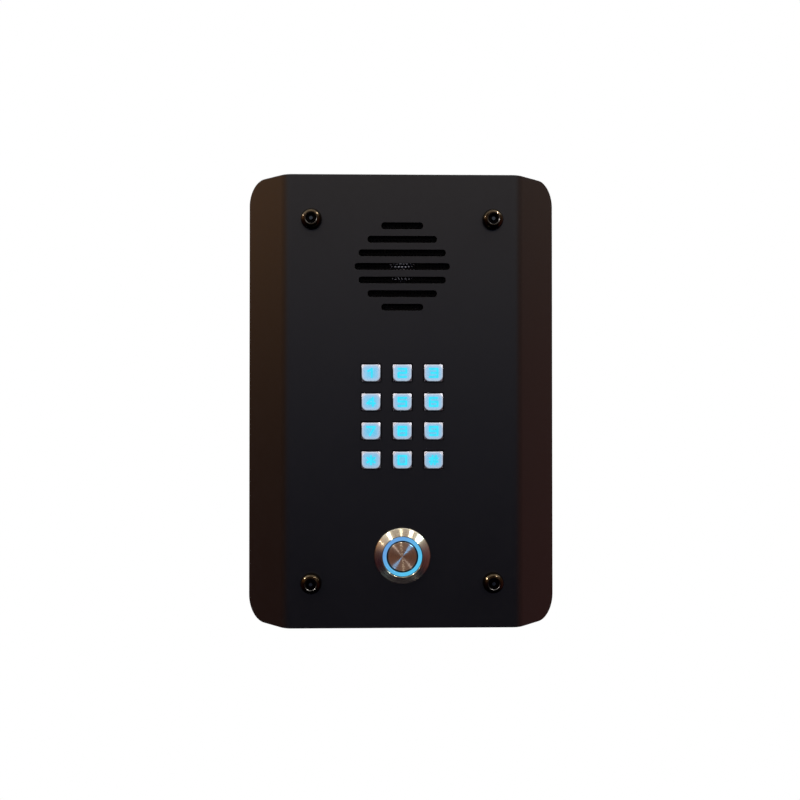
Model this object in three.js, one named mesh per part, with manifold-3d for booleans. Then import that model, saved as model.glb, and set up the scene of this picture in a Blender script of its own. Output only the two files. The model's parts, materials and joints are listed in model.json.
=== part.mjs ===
// A surface-mounted door intercom panel: a folded steel front plate with a speaker grille, a twelve-key
// keypad and a ring-lit call button, screwed to a moulded back box that holds the electronics.
// Millimetres. +X is to the right, +Y goes back to the wall, +Z is up. The origin is the centre of the back
// box's rear face, which rests on the wall. "Depth" is always measured back from the plate's front face.
import * as THREE from "three";
import { mergeVertices } from "three/addons/utils/BufferGeometryUtils.js";
import Module from "manifold-3d";

const wasm = await Module();
wasm.setup();

// ---- driving dimensions ----
const PANEL_HEIGHT = 200;
const PANEL_DEPTH = 48; // plate's front face to the wall
const SHEET = 2; // front plate's thickness
const FLAT_HALF_WIDTH = 51.5; // centre line to the line where the plate folds back
const WING = 26; // length of a folded side, from the fold
const FOLD_ANGLE = Math.PI / 4;
const FOLD_RADIUS = 7; // outside of the fold
const WING_CORNER_RADIUS = 11;

const SCREW_SPACING = { x: 80, z: 160 };
const SLOT = { pitch: 6, height: 3, cornerRadius: 1.2 };
const SLOT_LENGTHS = [18.4, 30.6, 38.4, 42, 38.4, 30.6, 18.4]; // top to bottom
const SPEAKER_Z = 59.2;
const KEY = { width: 8.3, height: 7.5, pitchX: 13.75, pitchZ: 12.75, proud: 1.8, travel: 1.2 };
const KEYPAD_Z = -6.9;
const KEY_NAMES = ["1", "2", "3", "4", "5", "6", "7", "8", "9", "star", "0", "hash"];
const KEY_COLUMNS = 3;
const KEY_GAP = 0.42; // between a key and its opening in the plate
const BUTTON_Z = -68.2;
const BARREL_RADIUS = 10.9; // call button's threaded barrel

const BOX = { width: 93, height: 178, wall: 2.5, cornerRadius: 6, rimDepth: 3.4 };
const BOARD = { width: 76, bottom: -46, top: 70, depth: 32.4, thickness: 1.6 };
const CABLE_ENTRY = { x: -25, z: -62, radius: 8.5 };
const WALL_HOLES = { x: 25, z: 77, radius: 2.25 };
const MICROPHONE = { x: 18, depth: 18 };

const FRONT = -PANEL_DEPTH; // y of the plate's front face
const CORNERS = [
  [-1, 1],
  [1, 1],
  [-1, -1],
  [1, -1],
];

// ---- materials ----
const finish = (color, roughness, metalness = 0) =>
  new THREE.MeshStandardMaterial({ color, roughness, metalness });
const materials = {
  powderBlack: finish(0x17171a, 0.5, 0.2),
  boxBlack: finish(0x141416, 0.65),
  foam: finish(0x0c0c0d, 0.95),
  rubber: finish(0x111112, 0.85),
  blackSteel: finish(0x1b1a19, 0.3, 0.9),
  brass: finish(0xb58d42, 0.35, 1),
  keyMetal: finish(0xc9ccd6, 0.3, 0.9),
  stainless: finish(0xb9b0a6, 0.28, 1),
  lightRing: finish(0x4fb4ff, 0.3),
  springSteel: finish(0x9a9a9c, 0.3, 1),
  zincNut: finish(0xa6a6a8, 0.35, 1),
  blackPlastic: finish(0x18181a, 0.6),
  silicone: finish(0xd8dadd, 0.6),
  board: finish(0x0f4a2a, 0.45),
  conePaper: finish(0x1c1c1e, 0.8),
  magnet: finish(0x4a4a4c, 0.4, 0.8),
  shieldCan: finish(0xb4b6b8, 0.3, 1),
  relayCase: finish(0x2458a8, 0.4),
  terminalGreen: finish(0x2f8f4a, 0.5),
  capacitorSleeve: finish(0x1d2440, 0.4),
  capsuleMetal: finish(0xb0b2b4, 0.3, 1),
  ribbon: finish(0x9a9ca0, 0.6),
  leadJacket: finish(0x222224, 0.6),
};

// ---- solids ----
function solidOf(geometry) {
  const bare = geometry.index ? geometry.toNonIndexed() : geometry.clone();
  bare.deleteAttribute("normal");
  bare.deleteAttribute("uv");
  const merged = mergeVertices(bare, 1e-4);
  const indices = merged.index.array;
  const triangles = [];
  for (let i = 0; i < indices.length; i += 3) {
    const [a, b, c] = [indices[i], indices[i + 1], indices[i + 2]];
    if (a !== b && b !== c && c !== a) triangles.push(a, b, c);
  }
  return new wasm.Manifold(
    new wasm.Mesh({
      numProp: 3,
      vertProperties: merged.attributes.position.array,
      triVerts: new Uint32Array(triangles),
    }),
  );
}

function geometryOf(solid) {
  const mesh = solid.getMesh();
  const geometry = new THREE.BufferGeometry();
  geometry.setAttribute("position", new THREE.BufferAttribute(new Float32Array(mesh.vertProperties), 3));
  geometry.setIndex(new THREE.BufferAttribute(new Uint32Array(mesh.triVerts), 1));
  geometry.computeVertexNormals();
  return geometry;
}

const joined = (solids) => solids.reduce((whole, piece) => whole.add(piece));
const cut = (body, cutters) => cutters.reduce((left, cutter) => left.subtract(cutter), body);

// ---- outlines, in x and z ----
function roundedRectangle(width, height, radius, x = 0, z = 0, Outline = THREE.Shape) {
  const [w, h] = [width / 2 - radius, height / 2 - radius];
  const outline = new Outline();
  outline.absarc(x + w, z + h, radius, 0, Math.PI / 2);
  outline.absarc(x - w, z + h, radius, Math.PI / 2, Math.PI);
  outline.absarc(x - w, z - h, radius, Math.PI, 1.5 * Math.PI);
  outline.absarc(x + w, z - h, radius, 1.5 * Math.PI, 2 * Math.PI);
  return outline;
}

function hexagon(acrossFlats, x = 0, z = 0) {
  const radius = acrossFlats / 2 / Math.cos(Math.PI / 6);
  const corners = Array.from({ length: 6 }, (_, i) => {
    const turn = (i * Math.PI) / 3;
    return new THREE.Vector2(x + radius * Math.cos(turn), z + radius * Math.sin(turn));
  });
  return new THREE.Shape(corners);
}

// ---- basic solids, placed by their depth behind the plate's front face ----
function prism(outline, depth0, depth1, curveSegments = 1) {
  const options = { depth: depth1 - depth0, bevelEnabled: false, curveSegments };
  const geometry = new THREE.ExtrudeGeometry(outline, options).rotateX(Math.PI / 2);
  return solidOf(geometry.translate(0, FRONT + depth1, 0));
}

function rod(radius, depth0, depth1, x = 0, z = 0, sides = 12) {
  const geometry = new THREE.CylinderGeometry(radius, radius, depth1 - depth0, sides);
  return solidOf(geometry.translate(x, FRONT + (depth0 + depth1) / 2, z));
}

function uprightRod(radius, z0, z1, x, depth, sides = 12) {
  const geometry = new THREE.CylinderGeometry(radius, radius, z1 - z0, sides).rotateX(Math.PI / 2);
  return solidOf(geometry.translate(x, FRONT + depth, (z0 + z1) / 2));
}

function block(x0, x1, depth0, depth1, z0, z1) {
  const geometry = new THREE.BoxGeometry(x1 - x0, depth1 - depth0, z1 - z0);
  return solidOf(geometry.translate((x0 + x1) / 2, FRONT + (depth0 + depth1) / 2, (z0 + z1) / 2));
}

// A turned piece on an axis along Y. Its section is [radius, depth] points round it; a section that touches
// the axis starts and ends there, and any other one closes on itself.
function turned(section, x, z, sides = 24) {
  const points = section.map(([radius, depth]) => new THREE.Vector2(radius, FRONT + depth));
  if (!THREE.ShapeUtils.isClockWise(points)) points.reverse();
  if (points[0].x > 0) points.push(points[0].clone());
  return solidOf(new THREE.LatheGeometry(points.reverse(), sides).translate(x, 0, z));
}

// A closed body through rings of equal point counts, from the front one back.
function lofted(rings) {
  const count = rings[0].points.length;
  const positions = rings.flatMap(({ points, depth }) => points.flatMap(({ x, y }) => [x, FRONT + depth, y]));
  const indices = [];
  for (let ring = 0; ring + 1 < rings.length; ring++) {
    for (let i = 0; i < count; i++) {
      const [a, b] = [ring * count + i, ring * count + ((i + 1) % count)];
      indices.push(a, a + count, b, b, a + count, b + count);
    }
  }
  const last = (rings.length - 1) * count;
  for (let i = 1; i + 1 < count; i++) {
    indices.push(0, i, i + 1, last, last + i + 1, last + i);
  }
  const geometry = new THREE.BufferGeometry();
  geometry.setAttribute("position", new THREE.Float32BufferAttribute(positions, 3));
  geometry.setIndex(indices);
  return solidOf(geometry);
}

// A tube along a smooth route of [x, depth, z] points.
function tube(route, radius, steps, sides = 8) {
  const points = route.map(([x, depth, z]) => new THREE.Vector3(x, FRONT + depth, z));
  const section = new THREE.Shape().absarc(0, 0, radius, 0, 2 * Math.PI);
  const extrudePath = new THREE.CatmullRomCurve3(points);
  const options = { extrudePath, steps, curveSegments: sides / 2, bevelEnabled: false };
  return solidOf(new THREE.ExtrudeGeometry(section, options));
}

// ---- the assembly ----
const panel = new THREE.Group();

function place(name, solid, material) {
  const mesh = new THREE.Mesh(geometryOf(solid), material);
  mesh.name = name;
  panel.add(mesh);
}

const screwPlaces = CORNERS.map(([sx, sz]) => [(sx * SCREW_SPACING.x) / 2, (sz * SCREW_SPACING.z) / 2]);
const keyPlaces = KEY_NAMES.map((name, i) => ({
  name,
  x: ((i % KEY_COLUMNS) - 1) * KEY.pitchX,
  z: KEYPAD_Z + (1.5 - Math.floor(i / KEY_COLUMNS)) * KEY.pitchZ,
}));

// Keypad carrier, mat and board share one outline, on four studs welded to the plate.
const KEYPAD = { width: 51, height: 59, cornerRadius: 2, studX: 22.6, studZ: 26.6, studRadius: 1.5 };
const studPlaces = CORNERS.map(([sx, sz]) => [sx * KEYPAD.studX, KEYPAD_Z + sz * KEYPAD.studZ]);

// ---- front plate: a sheet folded back along both sides, with its holes ----
function foldedSheet() {
  const tangent = FOLD_RADIUS * Math.tan(FOLD_ANGLE / 2);
  const centreX = FLAT_HALF_WIDTH - tangent;
  const centreY = FRONT + FOLD_RADIUS;
  const innerRadius = FOLD_RADIUS - SHEET;
  const edge = {
    x: FLAT_HALF_WIDTH + WING * Math.cos(FOLD_ANGLE),
    y: FRONT + WING * Math.sin(FOLD_ANGLE),
  };
  const inner = { x: edge.x - SHEET * Math.sin(FOLD_ANGLE), y: edge.y + SHEET * Math.cos(FOLD_ANGLE) };
  const down = -Math.PI / 2;
  const section = new THREE.Shape();
  section.moveTo(-inner.x, inner.y);
  section.lineTo(-edge.x, edge.y);
  section.absarc(-centreX, centreY, FOLD_RADIUS, down - FOLD_ANGLE, down, false);
  section.absarc(centreX, centreY, FOLD_RADIUS, down, down + FOLD_ANGLE, false);
  section.lineTo(edge.x, edge.y);
  section.lineTo(inner.x, inner.y);
  section.absarc(centreX, centreY, innerRadius, down + FOLD_ANGLE, down, true);
  section.absarc(-centreX, centreY, innerRadius, down, down - FOLD_ANGLE, true);
  const options = { depth: PANEL_HEIGHT, bevelEnabled: false, curveSegments: 2 };
  return solidOf(new THREE.ExtrudeGeometry(section, options).translate(0, 0, -PANEL_HEIGHT / 2));
}

// What rounding takes off one wing corner: a block across the sheet with a quarter circle left out.
function wingCornerCutter(side, end) {
  const reach = 3; // past the sheet on every side
  const top = PANEL_HEIGHT / 2;
  const centre = { x: WING - WING_CORNER_RADIUS, z: top - WING_CORNER_RADIUS };
  const offcut = new THREE.Shape();
  offcut.moveTo(centre.x, top);
  offcut.absarc(centre.x, centre.z, WING_CORNER_RADIUS, Math.PI / 2, 0, true);
  offcut.lineTo(WING + reach, centre.z);
  offcut.lineTo(WING + reach, top + reach);
  offcut.lineTo(centre.x, top + reach);
  const options = { depth: 2 * (SHEET + reach), bevelEnabled: false, curveSegments: 4 };
  const geometry = new THREE.ExtrudeGeometry(offcut, options).translate(0, 0, -(SHEET + reach));
  const along = new THREE.Vector3(side * Math.cos(FOLD_ANGLE), Math.sin(FOLD_ANGLE), 0);
  const up = new THREE.Vector3(0, 0, end);
  const across = along.clone().cross(up);
  const stand = new THREE.Matrix4().makeBasis(along, up, across);
  stand.setPosition(side * FLAT_HALF_WIDTH, FRONT, 0);
  return solidOf(geometry.applyMatrix4(stand));
}

function frontPlate() {
  const past = 1; // cutters run past both faces
  const through = (outline) => prism(outline, -past, SHEET + past);
  const slots = SLOT_LENGTHS.map((length, i) => {
    const z = SPEAKER_Z + (3 - i) * SLOT.pitch;
    return through(roundedRectangle(length, SLOT.height, SLOT.cornerRadius, 0, z));
  });
  const keyOpenings = keyPlaces.map(({ x, z }) =>
    through(roundedRectangle(KEY.width + 2 * KEY_GAP, KEY.height + 2 * KEY_GAP, 0.6, x, z)),
  );
  const screwHoles = screwPlaces.map(([x, z]) => rod(2.75, -past, SHEET + past, x, z));
  const buttonHole = rod(BARREL_RADIUS + 0.25, -past, SHEET + past, 0, BUTTON_Z, 28);
  const corners = CORNERS.map(([side, end]) => wingCornerCutter(side, end));
  const sheet = cut(foldedSheet(), [...corners, ...slots, ...keyOpenings, ...screwHoles, buttonHole]);
  const studs = studPlaces.map(([x, z]) => rod(KEYPAD.studRadius, SHEET / 2, 14.6, x, z, 10));
  return joined([sheet, ...studs]);
}

place("front_plate", frontPlate(), materials.powderBlack);

// ---- back box and what seals and closes it ----
const GASKET = { depth0: 2.05, depth1: 3.35, width: 3 };
const INSERT = { depth0: 3.6, depth1: 13.6, outerRadius: 3.3, innerRadius: 2.6 };
const SCREW_LENGTH = 20;
const BOSS_RADIUS = 5;
const boardHoles = CORNERS.map(([sx, sz]) => [sx * 34, sz > 0 ? BOARD.top - 4 : BOARD.bottom + 4]);

function gasket() {
  const outline = roundedRectangle(BOX.width - 0.4, BOX.height - 0.4, BOX.cornerRadius);
  const [width, height] = [BOX.width - 0.4 - 2 * GASKET.width, BOX.height - 0.4 - 2 * GASKET.width];
  outline.holes.push(roundedRectangle(width, height, BOX.cornerRadius - GASKET.width, 0, 0, THREE.Path));
  return prism(outline, GASKET.depth0, GASKET.depth1, 2);
}

function backBox() {
  const { width, height, wall, cornerRadius, rimDepth } = BOX;
  const floorDepth = PANEL_DEPTH - wall; // inner face of the rear wall
  const shell = prism(roundedRectangle(width, height, cornerRadius), rimDepth, PANEL_DEPTH, 2);
  const inside = roundedRectangle(width - 2 * wall, height - 2 * wall, cornerRadius - wall);
  const open = cut(shell, [prism(inside, rimDepth - 1, floorDepth, 2)]);
  const bosses = screwPlaces.map(([x, z]) => rod(BOSS_RADIUS, rimDepth, floorDepth + 1, x, z, 16));
  const boardTop = BOARD.depth + BOARD.thickness + 0.05;
  const standoffs = boardHoles.map(([x, z]) => rod(3.2, boardTop, floorDepth + 1, x, z));
  const insertBores = screwPlaces.map(([x, z]) => rod(INSERT.outerRadius + 0.1, rimDepth - 1, 14, x, z));
  const screwBores = screwPlaces.map(([x, z]) => rod(2.75, 13, SCREW_LENGTH + 4, x, z));
  const boardBores = boardHoles.map(([x, z]) => rod(1.45, boardTop - 1, 40, x, z, 8));
  const wallHoles = CORNERS.map(([sx, sz]) =>
    rod(WALL_HOLES.radius, floorDepth - 1, PANEL_DEPTH + 1, sx * WALL_HOLES.x, sz * WALL_HOLES.z),
  );
  const { x, z, radius } = CABLE_ENTRY;
  const cableHole = rod(radius, floorDepth - 1, PANEL_DEPTH + 1, x, z, 24);
  const flangeRecess = rod(radius + 3, PANEL_DEPTH - 1.3, PANEL_DEPTH + 1, x, z, 24);
  const soundPort = uprightRod(1.5, -height / 2 - 1, -height / 2 + wall + 1, MICROPHONE.x, MICROPHONE.depth);
  const bores = [...insertBores, ...screwBores, ...boardBores];
  const openings = [...wallHoles, cableHole, flangeRecess, soundPort];
  return cut(joined([open, ...bosses, ...standoffs]), [...bores, ...openings]);
}

function cableGrommet() {
  const { x, z, radius } = CABLE_ENTRY;
  const inner = PANEL_DEPTH - BOX.wall;
  const [bore, neck, flange] = [5.5, radius - 0.15, radius + 2.8];
  const section = [
    [bore, PANEL_DEPTH - 0.15],
    [flange, PANEL_DEPTH - 0.15],
    [flange, PANEL_DEPTH - 1.15],
    [neck, PANEL_DEPTH - 1.15],
    [neck, inner - 0.1],
    [flange, inner - 0.1],
    [bore + 1.5, inner - 1.6],
    [bore, inner - 1.6],
  ];
  return turned(section, x, z, 24);
}

// A button-head security screw: a domed head with a hexagon socket round a centre pin.
function coverScrew(x, z) {
  const head = { radius: 4.65, height: 4, seat: -0.06, socket: 4.2, pin: 0.75 };
  const body = turned(
    [
      [0, -head.height],
      [2.9, -head.height],
      [3.9, -3.35],
      [4.5, -2.3],
      [head.radius, -1.1],
      [head.radius, head.seat],
      [2.5, head.seat],
      [2.5, SCREW_LENGTH],
      [0, SCREW_LENGTH],
    ],
    x,
    z,
    16,
  );
  const socketOutline = hexagon(head.socket, x, z);
  socketOutline.holes.push(new THREE.Path().absarc(x, z, head.pin, 0, 2 * Math.PI));
  return cut(body, [prism(socketOutline, -head.height - 1, -head.height + 2.2, 3)]);
}

function threadInsert(x, z) {
  const { depth0, depth1, outerRadius, innerRadius } = INSERT;
  return cut(rod(outerRadius, depth0, depth1, x, z), [rod(innerRadius, depth0 - 1, depth1 + 1, x, z)]);
}

place("plate_gasket", gasket(), materials.foam);
place("back_box", backBox(), materials.boxBlack);
place("cable_grommet", cableGrommet(), materials.rubber);
const CORNER_NAMES = ["top_left", "top_right", "bottom_left", "bottom_right"];
screwPlaces.forEach(([x, z], i) => {
  place(`cover_screw_${CORNER_NAMES[i]}`, coverScrew(x, z), materials.blackSteel);
  place(`thread_insert_${CORNER_NAMES[i]}`, threadInsert(x, z), materials.brass);
});

// ---- speaker, behind the slots ----
const speakerPart = (section) => turned(section, 0, SPEAKER_Z, 20);

function speakerFrame() {
  const basket = speakerPart([
    [20.6, 4.4],
    [24, 4.4],
    [24, 5.8],
    [22, 6.1],
    [13, 15],
    [13, 16.2],
    [6.8, 16.2],
    [6.8, 15.2],
    [11.5, 14.6],
    [20.5, 7.2],
  ]);
  const terminal = block(-4, 4, 5.9, 11, SPEAKER_Z - 22.5, SPEAKER_Z - 17.5);
  const coneSpace = rod(18.6, 0, 9, 0, SPEAKER_Z, 24);
  return joined([basket, cut(terminal, [coneSpace])]);
}

const guard = rod(24, 2.1, 2.8, 0, SPEAKER_Z, 20);
const foamRing = speakerPart([
  [21, 2.9],
  [24, 2.9],
  [24, 4.3],
  [21, 4.3],
]);
const surround = speakerPart([
  [17.9, 4.9],
  [18.3, 3.8],
  [19.1, 3.4],
  [19.9, 3.8],
  [20.4, 4.9],
  [20.4, 5.6],
  [17.9, 5.6],
]);
const cone = speakerPart([
  [0, 4.4],
  [3, 4.95],
  [5.2, 6.8],
  [6.2, 9.5],
  [6.2, 11],
  [17.7, 5],
  [17.7, 5.7],
  [6.1, 11.8],
  [6.1, 19],
  [5.6, 19],
  [5.6, 9.5],
  [4.7, 7.2],
  [2.7, 5.6],
  [0, 5.1],
]);
const magnet = speakerPart([
  [0, 16.3],
  [5.2, 16.3],
  [5.2, 22.5],
  [6.6, 22.5],
  [6.6, 16.3],
  [14, 16.3],
  [14, 25],
  [0, 25],
]);
place("speaker_guard", guard, materials.blackSteel);
place("speaker_gasket", foamRing, materials.foam);
place("speaker_frame", speakerFrame(), materials.blackPlastic);
place("speaker_surround", surround, materials.rubber);
place("speaker_cone", cone, materials.conePaper);
place("speaker_magnet", magnet, materials.magnet);

// ---- microphone in the bottom wall of the back box ----
const boxFloor = -BOX.height / 2 + BOX.wall;
const boot = cut(uprightRod(5, boxFloor + 0.1, boxFloor + 6.6, MICROPHONE.x, MICROPHONE.depth, 16), [
  uprightRod(1.2, boxFloor - 1, boxFloor + 3, MICROPHONE.x, MICROPHONE.depth),
  uprightRod(3.1, boxFloor + 2, boxFloor + 8, MICROPHONE.x, MICROPHONE.depth, 16),
]);
const capsule = uprightRod(3, boxFloor + 2.1, boxFloor + 6.3, MICROPHONE.x, MICROPHONE.depth, 16);
place("microphone_boot", boot, materials.rubber);
place("microphone_capsule", capsule, materials.capsuleMetal);

// ---- keypad: carrier, silicone mat, board, nuts and keys ----
const MAT = { depth0: 8.7, depth1: 9.7, collarDepth: 6.4 };
const PLUNGER_RADIUS = 1.8;
const keypadOutline = () => roundedRectangle(KEYPAD.width, KEYPAD.height, KEYPAD.cornerRadius, 0, KEYPAD_Z);

function keypadFrame() {
  const pockets = keyPlaces.map(({ x, z }) => block(x - 5.7, x + 5.7, 1, 10, z - 5.3, z + 5.3));
  const studHoles = studPlaces.map(([x, z]) => rod(KEYPAD.studRadius + 0.3, 1, 10, x, z, 10));
  return cut(prism(keypadOutline(), SHEET + 0.1, MAT.depth0 - 0.1), [...pockets, ...studHoles]);
}

function keypadMat() {
  const sheet = prism(roundedRectangle(40.6, 50.4, 1.5, 0, KEYPAD_Z), MAT.depth0, MAT.depth1);
  const collars = keyPlaces.map(({ x, z }) => {
    const [front, back] = [FRONT + MAT.collarDepth, FRONT + MAT.depth0 + 0.1];
    const collar = new THREE.CylinderGeometry(3.9, 3, back - front, 8);
    return solidOf(collar.translate(x, (front + back) / 2, z));
  });
  const holes = keyPlaces.map(({ x, z }) => rod(PLUNGER_RADIUS + 0.4, 5, 11, x, z, 8));
  return cut(joined([sheet, ...collars]), holes);
}

function keypadBoard() {
  const holes = studPlaces.map(([x, z]) => rod(KEYPAD.studRadius + 0.2, 9, 12, x, z, 10));
  const board = cut(prism(keypadOutline(), 9.8, 11.3), holes);
  return joined([board, block(-8, 8, 11.2, 15.5, KEYPAD_Z - 27, KEYPAD_Z - 22)]);
}

function hexNut(acrossFlats, boreRadius, depth0, depth1, x, z, boreSides) {
  return cut(prism(hexagon(acrossFlats, x, z), depth0, depth1), [
    rod(boreRadius, depth0 - 1, depth1 + 1, x, z, boreSides),
  ]);
}

// A metal key: a square shank through the plate under a rounded top, so that its four corners slope away.
// A flange behind the plate keeps it in, and a plunger behind that works the mat.
function key(x, z) {
  const ring = (width, height, radius, depth) => ({
    points: roundedRectangle(width, height, radius, x, z).extractPoints(1).shape.slice(0, -1),
    depth,
  });
  const cap = lofted([
    ring(KEY.width - 0.9, KEY.height - 0.9, 2.2, -KEY.proud),
    ring(KEY.width - 0.2, KEY.height - 0.2, 2.5, -KEY.proud + 0.25),
    ring(KEY.width, KEY.height, 0.5, -0.7),
    ring(KEY.width, KEY.height, 0.5, 2.6),
  ]);
  const flange = block(x - 5.2, x + 5.2, SHEET + 0.15, SHEET + 1.15, z - 4.8, z + 4.8);
  return joined([cap, flange, rod(PLUNGER_RADIUS, 3, MAT.depth1 - 0.2 - KEY.travel, x, z, 8)]);
}

place("keypad_frame", keypadFrame(), materials.blackPlastic);
place("keypad_mat", keypadMat(), materials.silicone);
place("keypad_board", keypadBoard(), materials.board);
studPlaces.forEach(([x, z], i) => {
  place(`keypad_nut_${CORNER_NAMES[i]}`, hexNut(5.5, 1.6, 11.4, 13.8, x, z, 10), materials.zincNut);
});
for (const { name, x, z } of keyPlaces) place(`key_${name}`, key(x, z), materials.keyMetal);

// ---- call button ----
const buttonPart = (section) => turned(section, 0, BUTTON_Z, 28);
const BUTTON_TRAVEL = 2;

const bezel = buttonPart([
  [8.85, -2.8],
  [9.15, -3],
  [12.05, -1.35],
  [12.3, -1.1],
  [12.3, -0.6],
  [BARREL_RADIUS, -0.6],
  [BARREL_RADIUS, 24],
  [8.2, 24],
  [8.2, 14],
  [3.5, 14],
  [3.5, 12.3],
  [6.9, 12.3],
  [6.9, 4],
  [8.85, 4],
]);
const lightRing = buttonPart([
  [6.9, 3.9],
  [6.9, -2.45],
  [7.05, -2.6],
  [8.5, -2.6],
  [8.7, -2.45],
  [8.7, 3.9],
]);
const pushCap = buttonPart([
  [0, -2.55],
  [6.3, -2.55],
  [6.5, -2.3],
  [6.5, 0.1],
  [3, 0.1],
  [3, 16],
  [0, 16],
]);
const seal = buttonPart([
  [11.2, -0.52],
  [12, -0.52],
  [12, -0.06],
  [11.2, -0.06],
]);

function buttonBase() {
  const body = rod(10.2, 24.1, 31, 0, BUTTON_Z, 24);
  const spigot = rod(7.9, 20, 24.2, 0, BUTTON_Z, 24);
  const blades = CORNERS.map(([sx, sz]) => {
    const [x, z] = [sx * 5.5, BUTTON_Z + sz * 4];
    return block(x - 1.4, x + 1.4, 30.5, 35.5, z - 0.25, z + 0.25);
  });
  return joined([body, spigot, ...blades]);
}

// The spring sits round the cap's stem, between the cap and a shelf in the barrel.
function buttonSpring() {
  const [turns, perTurn, radius, wire] = [4, 8, 4.6, 0.35];
  const [start, end] = [0.1 + 2 * wire, 12.3 - 2 * wire];
  const route = Array.from({ length: turns * perTurn + 1 }, (_, i) => {
    const turn = (2 * Math.PI * i) / perTurn;
    const depth = start + ((end - start) * i) / (turns * perTurn);
    return [radius * Math.cos(turn), depth, BUTTON_Z + radius * Math.sin(turn)];
  });
  return tube(route, wire, turns * perTurn, 6);
}

place("button_bezel", bezel, materials.stainless);
place("button_light_ring", lightRing, materials.lightRing);
place("button_cap", pushCap, materials.stainless);
place("button_seal", seal, materials.rubber);
place("button_nut", hexNut(27, BARREL_RADIUS + 0.2, 2.1, 5.6, 0, BUTTON_Z, 28), materials.zincNut);
place("button_base", buttonBase(), materials.blackPlastic);
place("button_spring", buttonSpring(), materials.springSteel);

// ---- control board on the back box's standoffs, with what is soldered to its front ----
const seatDepth = BOARD.depth - 0.1; // rear of a component on the board

function controlBoard() {
  const height = BOARD.top - BOARD.bottom;
  const middle = (BOARD.top + BOARD.bottom) / 2;
  const outline = roundedRectangle(BOARD.width, height, 2, 0, middle);
  const holes = boardHoles.map(([x, z]) => rod(1.6, BOARD.depth - 1, BOARD.depth + 3, x, z, 10));
  const board = cut(prism(outline, BOARD.depth, BOARD.depth + BOARD.thickness), holes);
  const ribbonHeader = block(-8, 8, BOARD.depth - 4, BOARD.depth + 0.1, -20, -15);
  const speakerHeader = block(20, 28, BOARD.depth - 6, BOARD.depth + 0.1, 36, 42);
  const buttonHeader = block(25, 37, BOARD.depth - 6, BOARD.depth + 0.1, -30, -24);
  return joined([board, ribbonHeader, speakerHeader, buttonHeader]);
}

// A four-way screw terminal: wires go in from below, and each screw is reached from the front.
function terminalBlock(x) {
  const [ways, pitch, height] = [4, 5.08, 9];
  const [bottom, front] = [BOARD.bottom + 0.5, seatDepth - 11];
  const half = (ways * pitch) / 2;
  const body = block(x - half, x + half, front, seatDepth, bottom, bottom + height);
  const recesses = Array.from({ length: ways }, (_, i) => {
    const wayX = x - half + (i + 0.5) * pitch;
    const wireHole = block(wayX - 1.6, wayX + 1.6, front + 5, front + 8.6, bottom - 1, bottom + 5);
    return [wireHole, rod(1.9, front - 1, front + 2.5, wayX, bottom + 5, 8)];
  });
  return cut(body, recesses.flat());
}

function boardScrew(x, z) {
  const section = [
    [0, BOARD.depth - 2.1],
    [2, BOARD.depth - 2.1],
    [2.8, BOARD.depth - 1.4],
    [2.8, BOARD.depth - 0.1],
    [1.3, BOARD.depth - 0.1],
    [1.3, 38.5],
    [0, 38.5],
  ];
  return turned(section, x, z, 10);
}

place("control_board", controlBoard(), materials.board);
place("processor_module", block(-5, 25, seatDepth - 3.2, seatDepth, 2, 26), materials.shieldCan);
place("lock_relay", block(-30, -14, seatDepth - 15, seatDepth, -29.5, -10.5), materials.relayCase);
place("power_terminals", terminalBlock(-20), materials.terminalGreen);
place("signal_terminals", terminalBlock(16), materials.terminalGreen);
place("filter_capacitor", rod(5, seatDepth - 12, seatDepth, 30, -8, 20), materials.capacitorSleeve);
boardHoles.forEach(([x, z], i) => {
  place(`board_screw_${CORNER_NAMES[i]}`, boardScrew(x, z), materials.zincNut);
});

// ---- leads between the front plate's parts and the board ----
// The ribbon is flat across X, so it is an offset outline of its side view, extruded to its width.
function ribbonCable() {
  const [halfWidth, halfThickness, steps] = [7, 0.4, 10];
  const start = new THREE.Vector2(FRONT + 15.7, KEYPAD_Z - 24.5);
  const end = new THREE.Vector2(FRONT + BOARD.depth - 4.2, -17.5);
  const [away, back] = [start.clone(), end.clone()];
  away.x += 12;
  back.x -= 10;
  const line = new THREE.CubicBezierCurve(start, away, back, end);
  const side = (sign) =>
    line.getPoints(steps).map((point, i) => {
      const tangent = line.getTangent(i / steps);
      const offset = new THREE.Vector2(-tangent.y, tangent.x).multiplyScalar(sign * halfThickness);
      return point.add(offset);
    });
  const outline = new THREE.Shape([...side(1), ...side(-1).reverse()]);
  const geometry = new THREE.ExtrudeGeometry(outline, { depth: 2 * halfWidth, bevelEnabled: false });
  const toFrame = new THREE.Matrix4().makeBasis(
    new THREE.Vector3(0, 1, 0),
    new THREE.Vector3(0, 0, 1),
    new THREE.Vector3(1, 0, 0),
  );
  return solidOf(geometry.applyMatrix4(toFrame).translate(-halfWidth, 0, 0));
}

const speakerRoute = [
  [0, 11.2, SPEAKER_Z - 20],
  [0, 15, SPEAKER_Z - 20],
  [5, 18.5, SPEAKER_Z - 22],
  [15, 19, 37],
  [22, 19.5, 38],
  [24, 22, 39],
  [24, BOARD.depth - 6.2, 39],
];
const buttonRoute = [
  [0, 31.2, BUTTON_Z],
  [0, 34, BUTTON_Z],
  [5, 38, -66],
  [17, 39.5, -59],
  [27, 36, -51],
  [30, 29, -47],
  [29, 22, -40],
  [28, 19.5, -31],
  [28, 21.5, -27],
  [28, BOARD.depth - 6.2, -27],
];
const microphoneRoute = [
  [MICROPHONE.x, MICROPHONE.depth, boxFloor + 6.7],
  [MICROPHONE.x, MICROPHONE.depth, boxFloor + 9],
  [26, 19, -72],
  [34, 21, -62],
  [37, 22, -50],
  [36, 20, -38],
  [34, 19, -30],
  [34, 21.5, -27],
  [34, BOARD.depth - 6.2, -27],
];
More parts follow.
